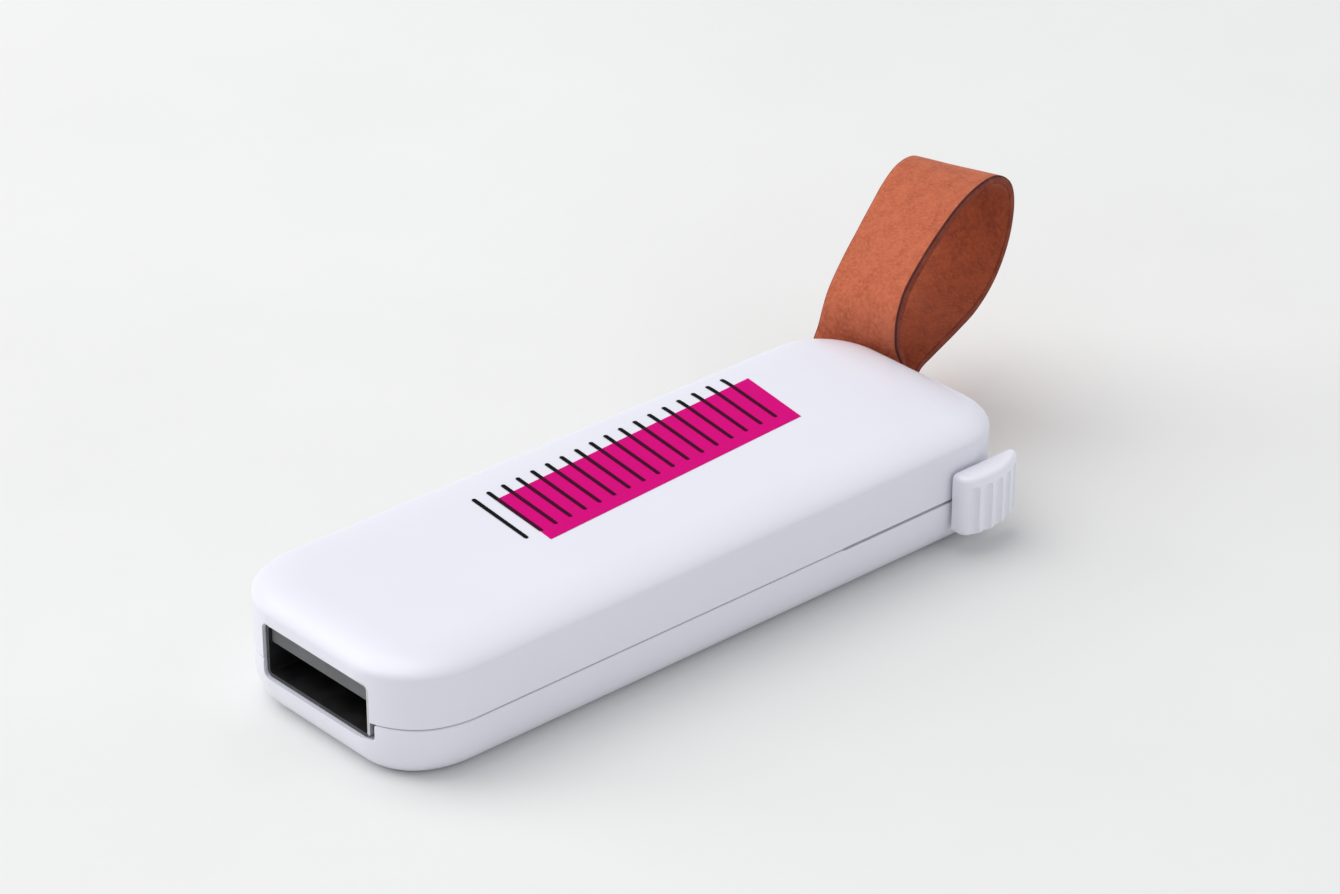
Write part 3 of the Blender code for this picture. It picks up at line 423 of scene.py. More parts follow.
edgeLeather = cutLeatherEdge("edgeLeather", (0.17, 0.037, 0.023), (0.28, 0.063, 0.036),
                             (0.40, 0.10, 0.052))
# A near-black line along the outer corner of the strap's right edge.
darkEdgeLine = cutLeatherEdge("darkEdgeLine", (0.07, 0.020, 0.018), (0.11, 0.034, 0.030),
                             (0.20, 0.06, 0.04))
panelInk = printedInk("panelInk", (0.66, 0.0, 0.195), (0.62, 0.0, 0.18))
barInk = barInkOverPanel()
print("finishes made")


# The case's two shells.

def planRing(bm, inset, height):
    # One horizontal outline of the case, moved inwards: a plate with four elliptical corners.
    oldVerts, oldFaces = set(bm.verts), set(bm.faces)
    bmesh.ops.create_grid(bm, x_segments=1, y_segments=1, size=1.0)
    ring = [v for v in bm.verts if v not in oldVerts]
    bmesh.ops.scale(bm, verts=ring,
                    vec=(case["halfWidth"] - inset, case["halfLength"] - inset, 1))
    bmesh.ops.translate(bm, verts=ring, vec=(0, 0, height))
    for end, corner in ((-1, case["frontCorner"]), (1, case["rearCorner"])):
        across, along = corner[0] - inset, corner[1] - inset
        ring = [v for v in bm.verts if v not in oldVerts]
        corners = sorted(ring, key=lambda v: v.co.y * end)[-2:]
        bmesh.ops.scale(bm, verts=ring, vec=(along / across, 1, 1))
        bmesh.ops.bevel(bm, geom=corners, offset=along, segments=case["cornerSteps"], profile=0.5,
                        affect="VERTICES", material=-1)
        ring = [v for v in bm.verts if v not in oldVerts]
        bmesh.ops.scale(bm, verts=ring, vec=(across / along, 1, 1))
    return next(f for f in bm.faces if f not in oldFaces)


def shellMesh(profile):
    # Rings from the outer cap over the outside, round the rim and up the inside to the inner cap.
    bm = bmesh.new()
    faces = [planRing(bm, inset, height) for inset, height in profile]
    rings = [list(face.edges) for face in faces]
    bmesh.ops.delete(bm, geom=faces[1:-1], context="FACES_ONLY")
    for ring, following in zip(rings, rings[1:]):
        bmesh.ops.bridge_loops(bm, edges=ring + following)
    bmesh.ops.recalc_face_normals(bm, faces=bm.faces)
    ease, length = case["frontEase"]
    for vert in bm.verts:
        share = min(max((length - case["halfLength"] - vert.co.y) / length, 0.0), 1.0)
        vert.co.y += ease * share * share * (3 - 2 * share)
    return bm


def quarterEdge(inset, height, across, drop, steps, inward=False):
    # A quarter ellipse from a flat cap to an upright wall, or back again when inward is true.
    path = []
    for step in range(steps + 1):
        turn = math.pi / 2 * step / steps
        path.append((inset + across * (1 - math.sin(turn)), height - drop * (1 - math.cos(turn))))
    return path[::-1] if inward else path


def rimRound(height, side):
    # The rounded outer edge where a shell meets the parting line.
    radius, steps = case["partingRound"], 3
    path = []
    for step in range(steps + 1):
        turn = math.pi / 2 * step / steps
        path.append((radius * (1 - math.cos(turn)), height + side * radius * (1 - math.sin(turn))))
    return path


def upperProfile():
    wall, top = case["wall"], case["height"]
    rim = case["parting"] + case["partingGap"] / 2
    lipEnd = case["parting"] - case["lipDepth"]
    path = quarterEdge(0, top, *case["topEdge"], case["edgeSteps"])
    path += rimRound(rim, 1)
    inset, step = case["lipInset"], case["lipStep"]
    path += [(inset, rim + case["draft"]), (inset, lipEnd + step),
             (inset + step, lipEnd), (wall, lipEnd + case["draft"])]
    inner = (case["topEdge"][0] - wall / 2, case["topEdge"][1] - wall / 2)
    path += quarterEdge(wall, top - wall, *inner, 4, inward=True)
    return path


def lowerProfile():
    wall = case["wall"]
    rim = case["parting"] - case["partingGap"] / 2
    seat = case["parting"] - case["lipDepth"] - case["seatGap"]
    inset = case["lipInset"] - case["lipStep"]
    path = quarterEdge(0, 0, case["bottomEdge"][0], -case["bottomEdge"][1], case["edgeSteps"])
    path += rimRound(rim, -1)
    path += [(inset, rim - case["draft"]), (inset, seat), (wall, seat + case["draft"])]
    inner = (case["bottomEdge"][0] / 2, case["bottomEdge"][1] / 2)
    path += quarterEdge(wall, wall, inner[0], -inner[1], 5, inward=True)[1:]
    return path


openings = {
    "plugGap": 0.07 * mm,
    "plugCorner": 0.55 * mm,
    "plugDepth": 4.0 * mm,
    "relief": 0.40 * mm,       # the lower shell's opening is wider on the slider's side
    "reliefCorner": 0.4 * mm,
    "reliefDepth": 5.0 * mm,
    "reliefLift": 0.01 * mm,   # keeps the two cutters' floors apart
    "slotHeight": 0.26 * mm,
    "slotDepth": 5.0 * mm,
    "strapGap": 0.3 * mm,
    "strapHalf": 1.85 * mm,
    "strapCorner": 0.7 * mm,
    "strapDepth": 5.2 * mm,
    "strapSide": -0.3 * mm,    # the slot sits a little left of the pin's middle
    "overshoot": 4.0 * mm,     # how far the cutters stand outside the case
}


def caseCutters():
    gap, front, outside = openings["plugGap"], -case["halfLength"], openings["overshoot"]
    low = (plugBox[0][0] - gap, front - outside, plugBox[0][2] - gap)
    high = (plugBox[1][0] + gap, front + openings["plugDepth"], plugBox[1][2] + gap)
    plugOpening = boxCutter("plugCutter", low, high, 1, openings["plugCorner"])
    relief = boxCutter(
        "reliefCutter", (plugMiddleX, front - outside, low[2] + openings["reliefLift"]),
        (high[0] + openings["relief"], front + openings["reliefDepth"], case["parting"] + mm),
        1, openings["reliefCorner"])
    armOut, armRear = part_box("slider_arm")[1][:2]
    travel = frame["joints"][0]["range_m"][1]
    half = openings["slotHeight"] / 2
    slotFront = armRear - arm["bladeLength"] - arm["slotGap"] - travel
    slot = boxCutter(
        "slotCutter", (armOut - openings["slotDepth"], slotFront, case["parting"] - half),
        (case["halfWidth"] + outside, armRear + arm["slotGap"], case["parting"] + half))
    halfStrap = strap["width"] / 2 + openings["strapGap"]
    bm = boxMesh((-halfStrap, -openings["strapDepth"], -openings["strapHalf"]),
                 (halfStrap, outside, openings["strapHalf"]), 1, openings["strapCorner"])
    bmesh.ops.rotate(bm, verts=bm.verts, cent=(0, 0, 0),
                     matrix=strapAcross.to_track_quat("X", "Z").to_matrix())
    bmesh.ops.translate(bm, verts=bm.verts, vec=strapExit + strapAcross * openings["strapSide"])
    return plugOpening, relief, slot, makeObject("strapCutter", bm)


def buildShells():
    plugOpening, relief, slot, strapSlot = caseCutters()
    upper = makeObject("upperShell", shellMesh(upperProfile()), [shellWhite])
    cutAway(upper, (plugOpening, slot, strapSlot))
    lower = makeObject("lowerShell", shellMesh(lowerProfile()), [shellWhite])
    cutAway(lower, (plugOpening, relief, slot, strapSlot))
    for shell, node in ((upper, "upper_case"), (lower, "lower_case")):
        softenEdges(shell, case["softEdge"], segments=2, angle=48)
        shadeSmooth(shell, sharpAngle=60)
        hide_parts(node)
        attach(shell, "case")
    removeObjects((plugOpening, relief, slot, strapSlot))
    return upper


# The thumb slider.

knob = {
    "crownBack": 2.5 * mm,     # highest point behind the front end
    "crownRadius": 6.6 * mm,
    "frontRound": 1.15 * mm,
    "rearRound": 0.5 * mm,
    "rimRound": 0.42 * mm,
    "fluteRadius": 0.44 * mm,
    "fluteLift": 0.02 * mm,
    "fluteFirst": 0.85 * mm,
    "flutePitch": 1.26 * mm,
    "flutes": 5,
    "fluteTop": 0.78 * mm,     # from the top down to the flutes
    "fluteRound": 0.3 * mm,
    "outlineSteps": (8, 28, 6),    # front corner, crown, rear corner
    "softEdge": 0.15 * mm,
}


def sweepArc(bm, vertex, centre, angle, steps):
    swept = bmesh.ops.spin(bm, geom=[vertex], cent=(*centre, vertex.co.z), axis=(0, 0, 1),
                           angle=angle, steps=steps, use_duplicate=False)
    return next(g for g in swept["geom_last"] if isinstance(g, bmesh.types.BMVert))


def knobOutline(bm, z):
    inner, outer = knobBox[0][0], knobBox[1][0]
    front, rear = knobBox[0][1], knobBox[1][1]
    radius = knob["crownRadius"]
    crown = (outer - radius, front + knob["crownBack"])

    def cornerCentre(y, corner):
        reach = math.sqrt((radius - corner) ** 2 - (y - crown[1]) ** 2)
        return crown[0] + reach, y

    frontCentre = cornerCentre(front + knob["frontRound"], knob["frontRound"])
    rearCentre = cornerCentre(rear - knob["rearRound"], knob["rearRound"])
    frontAngle = math.atan2(frontCentre[1] - crown[1], frontCentre[0] - crown[0])
    rearAngle = math.atan2(rearCentre[1] - crown[1], rearCentre[0] - crown[0])
    steps = knob["outlineSteps"]
    start = bm.verts.new((frontCentre[0], front, z))
    point = sweepArc(bm, start, frontCentre, math.pi / 2 + frontAngle, steps[0])
    point = sweepArc(bm, point, crown, rearAngle - frontAngle, steps[1])
    point = sweepArc(bm, point, rearCentre, math.pi / 2 - rearAngle, steps[2])
    innerRear = bm.verts.new((inner, rear, z))
    innerFront = bm.verts.new((inner, front, z))
    for pair in ((point, innerRear), (innerRear, innerFront), (innerFront, start)):
        bm.edges.new(pair)
    bmesh.ops.edgeloop_fill(bm, edges=bm.edges[:])


def knobSurfaceX(y):
    radius = knob["crownRadius"]
    offset = y - (knobBox[0][1] + knob["crownBack"])
    return knobBox[1][0] - radius + math.sqrt(radius ** 2 - offset ** 2)


def buildKnob():
    bottom, top = knobBox[0][2], knobBox[1][2]
    near = 0.01 * mm
    bm = bmesh.new()
    knobOutline(bm, bottom)
    raised = bmesh.ops.extrude_face_region(bm, geom=bm.faces[:], use_keep_orig=True)
    upper = [g for g in raised["geom"] if isinstance(g, bmesh.types.BMVert)]
    bmesh.ops.translate(bm, verts=upper, vec=(0, 0, top - bottom))
    bmesh.ops.recalc_face_normals(bm, faces=bm.faces)
    rims = [e for e in bm.edges
            if abs(e.verts[0].co.z - e.verts[1].co.z) < near
            and max(v.co.x for v in e.verts) > knobBox[0][0] + near]
    bmesh.ops.bevel(bm, geom=rims, offset=knob["rimRound"], segments=5, profile=0.5,
                    affect="EDGES", material=-1, clamp_overlap=True)
    grip = makeObject("thumbGrip", bm, [gripWhite])
    cutters = []
    depth = top - bottom - knob["fluteTop"] + 2 * mm       # each flute runs out through the bottom
    for number in range(knob["flutes"]):
        y = knobBox[0][1] + knob["fluteFirst"] + number * knob["flutePitch"]
        bm = bmesh.new()
        bmesh.ops.create_cone(bm, cap_ends=True, segments=32, radius1=knob["fluteRadius"],
                              radius2=knob["fluteRadius"], depth=depth)
        rim = [e for e in bm.edges if min(v.co.z for v in e.verts) > depth / 2 - near]
        bmesh.ops.bevel(bm, geom=rim, offset=knob["fluteRound"], segments=4, profile=0.5,
                        affect="EDGES", material=-1)
        bmesh.ops.translate(bm, verts=bm.verts, vec=(knobSurfaceX(y) + knob["fluteLift"], y,
                                                     top - knob["fluteTop"] - depth / 2))
        cutters.append(makeObject("fluteCutter", bm))
    armLow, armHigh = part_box("slider_arm")
    gap = arm["pocketGap"]
    cutters.append(boxCutter(
        "pocketCutter",
        (knobBox[0][0] - mm, armHigh[1] - arm["bladeLength"] - gap, armLow[2] - gap),
        (armHigh[0] + gap, armHigh[1] + gap, armHigh[2] + gap)))
    cutAway(grip, cutters)
    removeObjects(cutters)
    softenEdges(grip, knob["softEdge"], segments=4, angle=32)
    shadeSmooth(grip, sharpAngle=60)
    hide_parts("thumb_slider")
    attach(grip, "slider")


# The arm between the thumb slider and the carriage.

arm = {
    "thickness": 0.18 * mm,
    "corner": 0.5 * mm,
    "baseWidth": 2.6 * mm,     # the part that lies on the carriage
    "bladeLength": 2.8 * mm,   # the part that reaches out to the grip
    "slotGap": 0.3 * mm,
    "pocketGap": 0.25 * mm,
    "softEdge": 0.03 * mm,
}


def buildArm():
    # A flat plate on the carriage with a short blade at its rear that reaches out through the slot.
    low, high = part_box("slider_arm")
    middle = (low[2] + high[2]) / 2
    half = arm["thickness"] / 2
    bm = boxMesh((low[0], low[1], middle - half), (high[0], high[1], middle + half),
                 2, arm["corner"])
    plate = makeObject("slideArm", bm, [springSteel])
    notch = boxCutter("notchCutter", (low[0] + arm["baseWidth"], low[1] - mm, middle - mm),
                      (high[0] + mm, high[1] - arm["bladeLength"], middle + mm))
    cutAway(plate, [notch])
    removeObjects([notch])
    softenEdges(plate, arm["softEdge"], segments=2, angle=50)
    shadeSmooth(plate, sharpAngle=60)
    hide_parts("slider_arm")
    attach(plate, "slider")


# The plug's sleeve and tongue.

plug = {
    "sheet": 0.3 * mm,
    "setBack": 0.12 * mm,      # the mouth stands just inside the case's opening
    "tongueBack": 0.28 * mm,
    "chamfer": (1.3 * mm, 0.65 * mm),
    "corner": 0.55 * mm,
    "windowAcross": 2.4 * mm,
    "windowAlong": 2.0 * mm,
    "windowBack": 5.2 * mm,
    "windowSpread": 4.6 * mm,
    "windowCorner": 0.12 * mm,
    "seam": 0.07 * mm,
    "seamDepth": 0.12 * mm,
    "sleeveSoftEdge": 0.05 * mm,
    "tongueSideGap": 0.03 * mm,
    "tongueLift": 0.15 * mm,   # the tongue's underside above the contacts' faces
    "tongueSoftEdge": 0.12 * mm,
    "rootLength": 6.0 * mm,    # the block behind the tongue
    "rootDrop": 0.1 * mm,
    "groove": 1.3 * mm,        # each contact lies in one
    "grooveFront": 0.15 * mm,  # how far it runs past the contact's end, and under it
    "grooveUnder": 0.1 * mm,
    "grooveDepth": 0.12 * mm,
}


def buildSleeve():
    mouth = (plugBox[0][0], plugBox[0][1] + plug["setBack"], plugBox[0][2])
    bm = boxMesh(mouth, plugBox[1], 1, plug["corner"], 8)
    ends = [f for f in bm.faces if abs(f.normal.y) > 0.9]
    bmesh.ops.delete(bm, geom=ends, context="FACES")
    sleeve = makeObject("plugSleeve", bm, [platedSteel, paintedShadeSteel])
    wall = sleeve.modifiers.new("sheet", "SOLIDIFY")
    wall.thickness = plug["sheet"]
    wall.offset = -1
    wall.use_even_offset = True
    # The sheet's inner faces take the near-black steel, painted shade inside the plug.
    wall.material_offset = 1
    cutters = []
    bottom, top = plugBox[0][2], plugBox[1][2]
    for side in (-1, 1):
        x = plugMiddleX + side * plug["windowSpread"] / 2
        y = plugBox[0][1] + plug["windowBack"]
        half = plug["windowAcross"] / 2
        cutters.append(boxCutter(
            "windowCutter", (x - half, y, bottom - mm),
            (x + half, y + plug["windowAlong"], top + mm), 2, plug["windowCorner"]))
    half = plug["seam"] / 2
    cutters.append(boxCutter(
        "seamCutter", (plugMiddleX - half, plugBox[0][1] - mm, bottom - mm),
        (plugMiddleX + half, plugBox[1][1] + mm, bottom + plug["seamDepth"])))
    cutAway(sleeve, cutters)
    removeObjects(cutters)
    # The rim's left and lower faces take the near-black steel as painted shade; the right side
    # stays bright plated steel.
    near = 0.01 * mm
    inner = plug["sheet"] + 2 * near
    for face in sleeve.data.polygons:
        onRim = face.normal.y < -0.9 and face.center.y < mouth[1] + near
        if onRim and (face.center.x < mouth[0] + inner or face.center.z < mouth[2] + inner):
            face.material_index = 1
    softenEdges(sleeve, plug["sleeveSoftEdge"], segments=2, angle=50)
    shadeSmooth(sleeve, sharpAngle=60)
    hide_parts("plug_shell")
    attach(sleeve, "slider")


def buildTongue():
    low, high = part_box("plug_tongue")
    contacts = [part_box(f"contact_{number}") for number in (1, 2, 3, 4)]
    underside = contacts[0][1][2] + plug["tongueLift"]
    front = plugBox[0][1] + plug["setBack"] + plug["tongueBack"]
    side = plug["sheet"] + plug["tongueSideGap"]
    bm = boxMesh((plugBox[0][0] + side, front, underside), (plugBox[1][0] - side, high[1], high[2]))
    back, rise = plug["chamfer"]
    slope = bmesh.ops.bisect_plane(bm, geom=bm.verts[:] + bm.edges[:] + bm.faces[:],
                                   plane_co=(0, front, underside + rise),
                                   plane_no=(0, -rise, -back), clear_outer=True)
    cut = [g for g in slope["geom_cut"] if isinstance(g, bmesh.types.BMEdge)]
    bmesh.ops.edgeloop_fill(bm, edges=cut)
    bmesh.ops.recalc_face_normals(bm, faces=bm.faces)
    blade = makeObject("plugTongue", bm, [tongueGrey])
    root = boxCutter("rootBlock", (low[0], high[1] - plug["rootLength"], low[2]),
                     (high[0], high[1], high[2] - plug["rootDrop"]))
    joined = blade.modifiers.new("root", "BOOLEAN")
    joined.operation = "UNION"
    joined.object = root
    joined.solver = "EXACT"
    applyModifiers(blade)
    cutters = []
    half = plug["groove"] / 2
    for box in contacts:
        x = (box[0][0] + box[1][0]) / 2
        cutters.append(boxCutter(
            "contactCutter",
            (x - half, box[0][1] - plug["grooveFront"], box[0][2] - plug["grooveUnder"]),
            (x + half, high[1] + mm, underside + plug["grooveDepth"])))
    cutAway(blade, cutters)
    removeObjects(cutters + [root])
    softenEdges(blade, plug["tongueSoftEdge"], segments=3, angle=50)
    shadeSmooth(blade, sharpAngle=60)
    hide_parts("plug_tongue")
    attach(blade, "slider")


# The leather strap.

strap = {
    "width": 8.4 * mm,
    "thickness": 0.70 * mm,
    "exit": (4.7 * mm, 0.1 * mm, 5.4 * mm),    # in from the left side and the rear end, and up
    "yaw": 15,                 # degrees that it points to the left of straight back
    # Middle of the leather along the right and left edges, from the upper end in the case round
    # the loop to the lower end: (out from the case, up, to the right), in millimetres.
    "right": (
        (-6.20, 6.15, -0.30), (-4.00, 6.15, -0.30), (-2.00, 6.15, -0.30), (-0.60, 6.20, -0.35),
        (0.50, 6.70, -0.70), (1.00, 7.80, -1.15), (0.45, 9.30, -1.30), (-0.30, 10.90, -0.95),
        (-0.95, 12.40, -0.50), (-1.00, 13.70, -0.25), (-0.30, 14.90, -0.20), (1.30, 16.15, -0.15),
        (3.65, 17.65, -0.05), (6.50, 19.05, 0.10), (9.75, 19.80, 0.15), (12.90, 19.60, 0.15),
        (15.30, 18.15, 0.10), (16.10, 15.95, 0.05), (15.55, 13.10, 0.0), (13.65, 10.60, 0.0),
        (10.80, 9.00, 0.0), (7.70, 8.20, -0.10), (4.60, 7.35, -0.40), (3.00, 6.45, -0.80),
        (1.90, 5.30, -0.70), (0.60, 4.70, -0.45), (-1.20, 4.65, -0.32), (-3.60, 4.65, -0.30),
        (-6.20, 4.65, -0.30)),
    "left": (
        (-6.20, 6.15, -0.30), (-4.00, 6.15, -0.30), (-2.00, 6.15, -0.30), (-0.60, 6.20, -0.35),
        (0.50, 6.70, -1.02), (1.15, 7.75, -1.17), (1.05, 9.20, -0.68), (1.02, 10.70, -0.27),
        (1.62, 12.10, -0.10), (2.80, 13.40, 0.0), (4.30, 14.55, 0.0), (5.95, 15.70, 0.0),
        (7.70, 16.95, 0.0), (9.55, 18.20, 0.0), (11.55, 19.05, 0.05), (13.70, 18.98, 0.10),
        (15.45, 17.85, 0.10), (16.10, 15.95, 0.05), (15.55, 13.10, 0.0), (13.65, 10.60, 0.0),
        (10.80, 9.00, 0.0), (7.70, 8.20, -0.10), (4.60, 7.35, -0.40), (3.00, 6.45, -0.80),
        (1.90, 5.30, -0.70), (0.60, 4.70, -0.45), (-1.20, 4.65, -0.32), (-3.60, 4.65, -0.30),
        (-6.20, 4.65, -0.30)),
    "steps": 7,
    "strips": 14,
    "unevenness": 0.05 * mm,
    "waves": 260,              # how closely the unevenness repeats, per metre
    "softEdge": 0.14 * mm,
}
strapYaw = math.radians(strap["yaw"])
strapOut = Vector((-math.sin(strapYaw), math.cos(strapYaw), 0))
strapAcross = Vector((math.cos(strapYaw), math.sin(strapYaw), 0))
strapExit = Vector((-case["halfWidth"] + strap["exit"][0], case["halfLength"] - strap["exit"][1],
                    strap["exit"][2]))


def smoothRoute(points, steps):
    padded = [2 * Vector(points[0]) - Vector(points[1]), *map(Vector, points),
              2 * Vector(points[-1]) - Vector(points[-2])]
    route = []
    for i in range(1, len(padded) - 2):
        a, b, c, d = padded[i - 1:i + 3]
        for step in range(steps):
            t = step / steps
            route.append(0.5 * (2 * b + (c - a) * t + (2 * a - 5 * b + 4 * c - d) * t * t
                                + (3 * b - a - 3 * c + d) * t ** 3))
    route.append(padded[-2])
    return route


def plainInnerEdge(band):
    # Only the outer corner of the right edge keeps the near-black line; the others take the cut
    # edge's tone.
    bm = bmesh.new()
    bm.from_mesh(band.data)
    for face in bm.faces:
        toRight = (face.calc_center_median() - strapExit).dot(strapAcross)
        if face.material_index == 2 and toRight < 0:
            face.material_index = 1
    for seek in (3, 1):
        inner = [f for f in bm.faces if f.material_index == 2
                 and any(g.material_index == seek and (seek == 3 or g.tag)
                         for e in f.edges for g in e.link_faces)]
        for face in inner:
            face.tag = True
            face.material_index = 1
    bm.to_mesh(band.data)
    bm.free()


def buildStrap():
    right = smoothRoute(strap["right"], strap["steps"])
    left = smoothRoute(strap["left"], strap["steps"])
    bm = bmesh.new()
    bmesh.ops.create_grid(bm, x_segments=len(right) - 1, y_segments=strap["strips"], size=0.5)
    for vert in bm.verts:
        place = round((vert.co.x + 0.5) * (len(right) - 1))
        share = vert.co.y + 0.5
        out, up, side = left[place].lerp(right[place], share) * mm
        vert.co = strapExit + strapOut * out + strapAcross * ((share - 0.5) * strap["width"] + side)
        vert.co.z = up
    bmesh.ops.recalc_face_normals(bm, faces=bm.faces)
    if max(bm.faces, key=lambda f: f.calc_center_median().z).normal.z < 0:
        bmesh.ops.reverse_faces(bm, faces=bm.faces)
    bm.normal_update()
    for vert in bm.verts:
        wave = noise.noise(vert.co * strap["waves"]) * strap["unevenness"]
        vert.co += vert.normal * wave
    band = makeObject("leatherStrap", bm, [tanSuede, edgeLeather, darkEdgeLine, fleshAndShadeSuede])
    leather = band.modifiers.new("leather", "SOLIDIFY")
    leather.thickness = strap["thickness"]
    leather.offset = 0
    leather.use_even_offset = False
    # The offset face takes the darker suede: the flesh side's tone together with painted shade
    # inside the loop.
    leather.material_offset = 3
    leather.material_offset_rim = 1
    applyModifiers(band)
    softenEdges(band, strap["softEdge"], segments=2, angle=60, material=2)
    plainInnerEdge(band)
    shadeSmooth(band, sharpAngle=75)
    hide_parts("strap_loop", "strap_end_upper", "strap_end_lower")
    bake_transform(band)


# The print on the top.

def drape(bm, surface, lift):
    # Every point of the flat print drops onto the shell's top.
    above = 5 * case["height"]
    for vert in bm.verts:
        hit = surface.ray_cast(Vector((vert.co.x, vert.co.y, above)), Vector((0, 0, -1)))
        vert.co.z = hit[0].z + lift


def makeFilm(name, bm, ink):
    film = makeObject(name, bm, [ink])
    sheet = film.modifiers.new("film", "SOLIDIFY")
    sheet.thickness = printing["film"]
    sheet.offset = 1
    applyModifiers(film)
    film.data.shade_smooth()
    film.data.set_sharp_from_angle(angle=math.radians(40))
    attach(film, "case")


def buildPanel(surface):
    bm = bmesh.new()
    across, along = printing["panelCuts"]
    bmesh.ops.create_grid(bm, x_segments=across, y_segments=along, size=0.5)
    corners = [Vector(c) * mm for c in printing["panelCorners"]]
    for vert in bm.verts:
        across, along = vert.co.x + 0.5, vert.co.y + 0.5
        near = corners[0].lerp(corners[3], across)
        far = corners[1].lerp(corners[2], across)
        vert.co.x, vert.co.y = near.lerp(far, along)
    drape(bm, surface, printing["panelLift"])
    bmesh.ops.recalc_face_normals(bm, faces=bm.faces)
    if sum(f.normal.z for f in bm.faces) < 0:
        bmesh.ops.reverse_faces(bm, faces=bm.faces)
    makeFilm("printedPanel", bm, panelInk)


def addBar(bm, start, end):
    # A thin stroke with round ends.
    radius = printing["barWidth"] / 2
    length = (end - start).length
    made = bmesh.ops.create_circle(bm, cap_ends=True, segments=16, radius=radius)["verts"]
    bmesh.ops.translate(bm, verts=[v for v in made if v.co.x > 0.001 * mm], vec=(length, 0, 0))
    for step in range(1, printing["barCuts"]):
        faces = {f for v in made for f in v.link_faces}
        geom = list({*made, *(e for f in faces for e in f.edges), *faces})
        place = (length * step / printing["barCuts"], 0, 0)
        cut = bmesh.ops.bisect_plane(bm, geom=geom, plane_co=place, plane_no=(1, 0, 0))
        made = list({*made, *(g for g in cut["geom_cut"] if isinstance(g, bmesh.types.BMVert))})
    direction = end - start
    bmesh.ops.rotate(bm, verts=made, cent=(0, 0, 0),
                     matrix=Vector((*direction, 0)).to_track_quat("X", "Z").to_matrix())
    bmesh.ops.translate(bm, verts=made, vec=(*start, 0))


def buildBars(surface):
    first = [Vector(c) * mm for c in printing["firstBar"]]
    last = [Vector(c) * mm for c in printing["lastBar"]]
    bars = bmesh.new()
    for number in range(printing["bars"]):
        share = number / (printing["bars"] - 1)
        share -= printing["spread"] * share * (1 - share)
        bar = bmesh.new()
        addBar(bar, first[0].lerp(last[0], share), first[1].lerp(last[1], share))
        drape(bar, surface, printing["barLift"])
        stroke = bpy.data.meshes.new("stroke")
        bar.to_mesh(stroke)
        bar.free()
        bars.from_mesh(stroke)
        bpy.data.meshes.remove(stroke)
    for face in bars.faces:
        if face.normal.z < 0:
            face.normal_flip()
    makeFilm("printedBars", bars, barInk)


# Nodes of the frame that stay and only get a finish.

keptFinishes = {
    "slide_carriage": carriageWhite,
    "detent_spring": springSteel,
    "strap_pin": springSteel,
    "circuit_board": boardGreen,
    "memory_chip": moulding,
    "controller_chip": moulding,
    "regulator": moulding,
    "crystal": canSteel,
    "activity_led": lensBlue,
}
keptFinishes.update({f"contact_{n}": contactGold for n in (1, 2, 3, 4)})
keptFinishes.update({f"capacitor_{n}": ceramic for n in (1, 2, 3, 4)})
keptFinishes.update({f"resistor_{n}": moulding for n in (1, 2, 3)})


def finishNodes():
    for name, material in keptFinishes.items():
        node = frame["nodes"][name]
        node.data.materials.clear()
        node.data.materials.append(material)


# Everything is built in this order.

upperShell = buildShells()
print("case shells built")
buildKnob()
buildArm()
buildSleeve()
buildTongue()
print("thumb slider and plug built")
buildStrap()
print("strap built")
topSurface = BVHTree.FromObject(upperShell, bpy.context.evaluated_depsgraph_get())
buildPanel(topSurface)
buildBars(topSurface)
print("print laid on the case")
finishNodes()


# The stage, the lights and the camera.

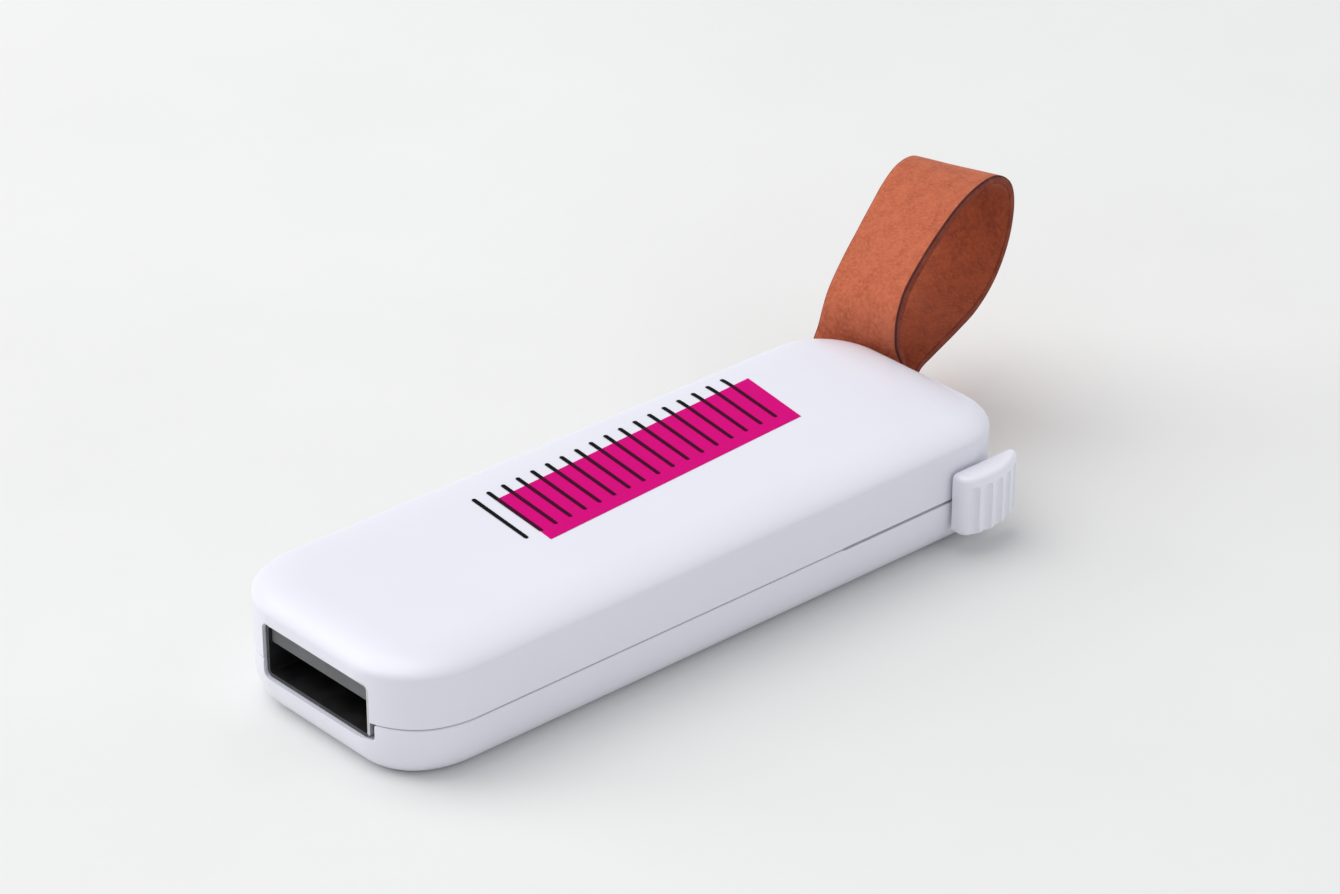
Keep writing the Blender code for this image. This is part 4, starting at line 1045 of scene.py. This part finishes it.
studio = {
    "floorSize": 3.0,
    "floorDrop": 0.05 * mm,
    "world": (0.93, 0.95, 1.0),
    "worldStrength": 0.56,
    "sensor": 36.0,
    "lens": 122.76,
    "cameraPlace": (226.97 * mm, -198.74 * mm, 177.74 * mm),
    "cameraDown": 28.588,      # degrees below level
    "cameraTurn": 48.2,
    # azimuth, elevation, distance, size, power, colour, and whether it shows in reflections
    "lights": {
        "overhead": (-60, 66, 1.2, (1.2, 1.2), 8.15, (1.0, 0.99, 0.98), True),
        "front": (-55, 22, 0.8, (0.5, 0.35), 1.9, (1.0, 1.0, 1.0), False),
        "fill": (108, 32, 0.8, (0.5, 0.5), 0.52, (1.0, 1.0, 1.0), False),
    },
}


def buildFloor():
    bm = bmesh.new()
    bmesh.ops.create_grid(bm, x_segments=4, y_segments=4, size=studio["floorSize"] / 2)
    bmesh.ops.translate(bm, verts=bm.verts, vec=(0, 0, -studio["floorDrop"]))
    floor = makeObject("floor", bm, [plaster()])


def addSoftbox(name, azimuth, elevation, distance, size, power, color, glossy):
    # Azimuth runs as the camera's does: 0 is in front of the plug, 90 on the slider's side.
    turn, tilt = math.radians(azimuth), math.radians(elevation)
    away = Vector((math.sin(turn) * math.cos(tilt), -math.cos(turn) * math.cos(tilt),
                   math.sin(tilt)))
    data = bpy.data.lights.new(name, "AREA")
    data.shape = "RECTANGLE"
    data.size, data.size_y = size
    data.energy = power
    data.color = color
    light = bpy.data.objects.new(name, data)
    light.visible_glossy = glossy
    light.location = away * distance
    light.rotation_euler = away.to_track_quat("Z", "Y").to_euler()
    bpy.context.scene.collection.objects.link(light)


def lightStudio():
    world = bpy.data.worlds.new("studio")
    world.use_nodes = True
    background = world.node_tree.nodes["Background"]
    background.inputs["Color"].default_value = (*studio["world"], 1.0)
    background.inputs["Strength"].default_value = studio["worldStrength"]
    bpy.context.scene.world = world
    for name, settings in studio["lights"].items():
        addSoftbox(name, *settings)


def placeCamera():
    data = bpy.data.cameras.new("camera")
    data.sensor_width = studio["sensor"]
    data.lens = studio["lens"]
    data.clip_start = 0.01
    data.clip_end = 10.0
    camera = bpy.data.objects.new("camera", data)
    camera.location = studio["cameraPlace"]
    camera.rotation_euler = (math.radians(90 - studio["cameraDown"]), 0,
                             math.radians(studio["cameraTurn"]))
    bpy.context.scene.collection.objects.link(camera)
    bpy.context.scene.camera = camera


buildFloor()
lightStudio()
placeCamera()
bpy.context.scene.view_settings.view_transform = "Standard"
print("stage ready")
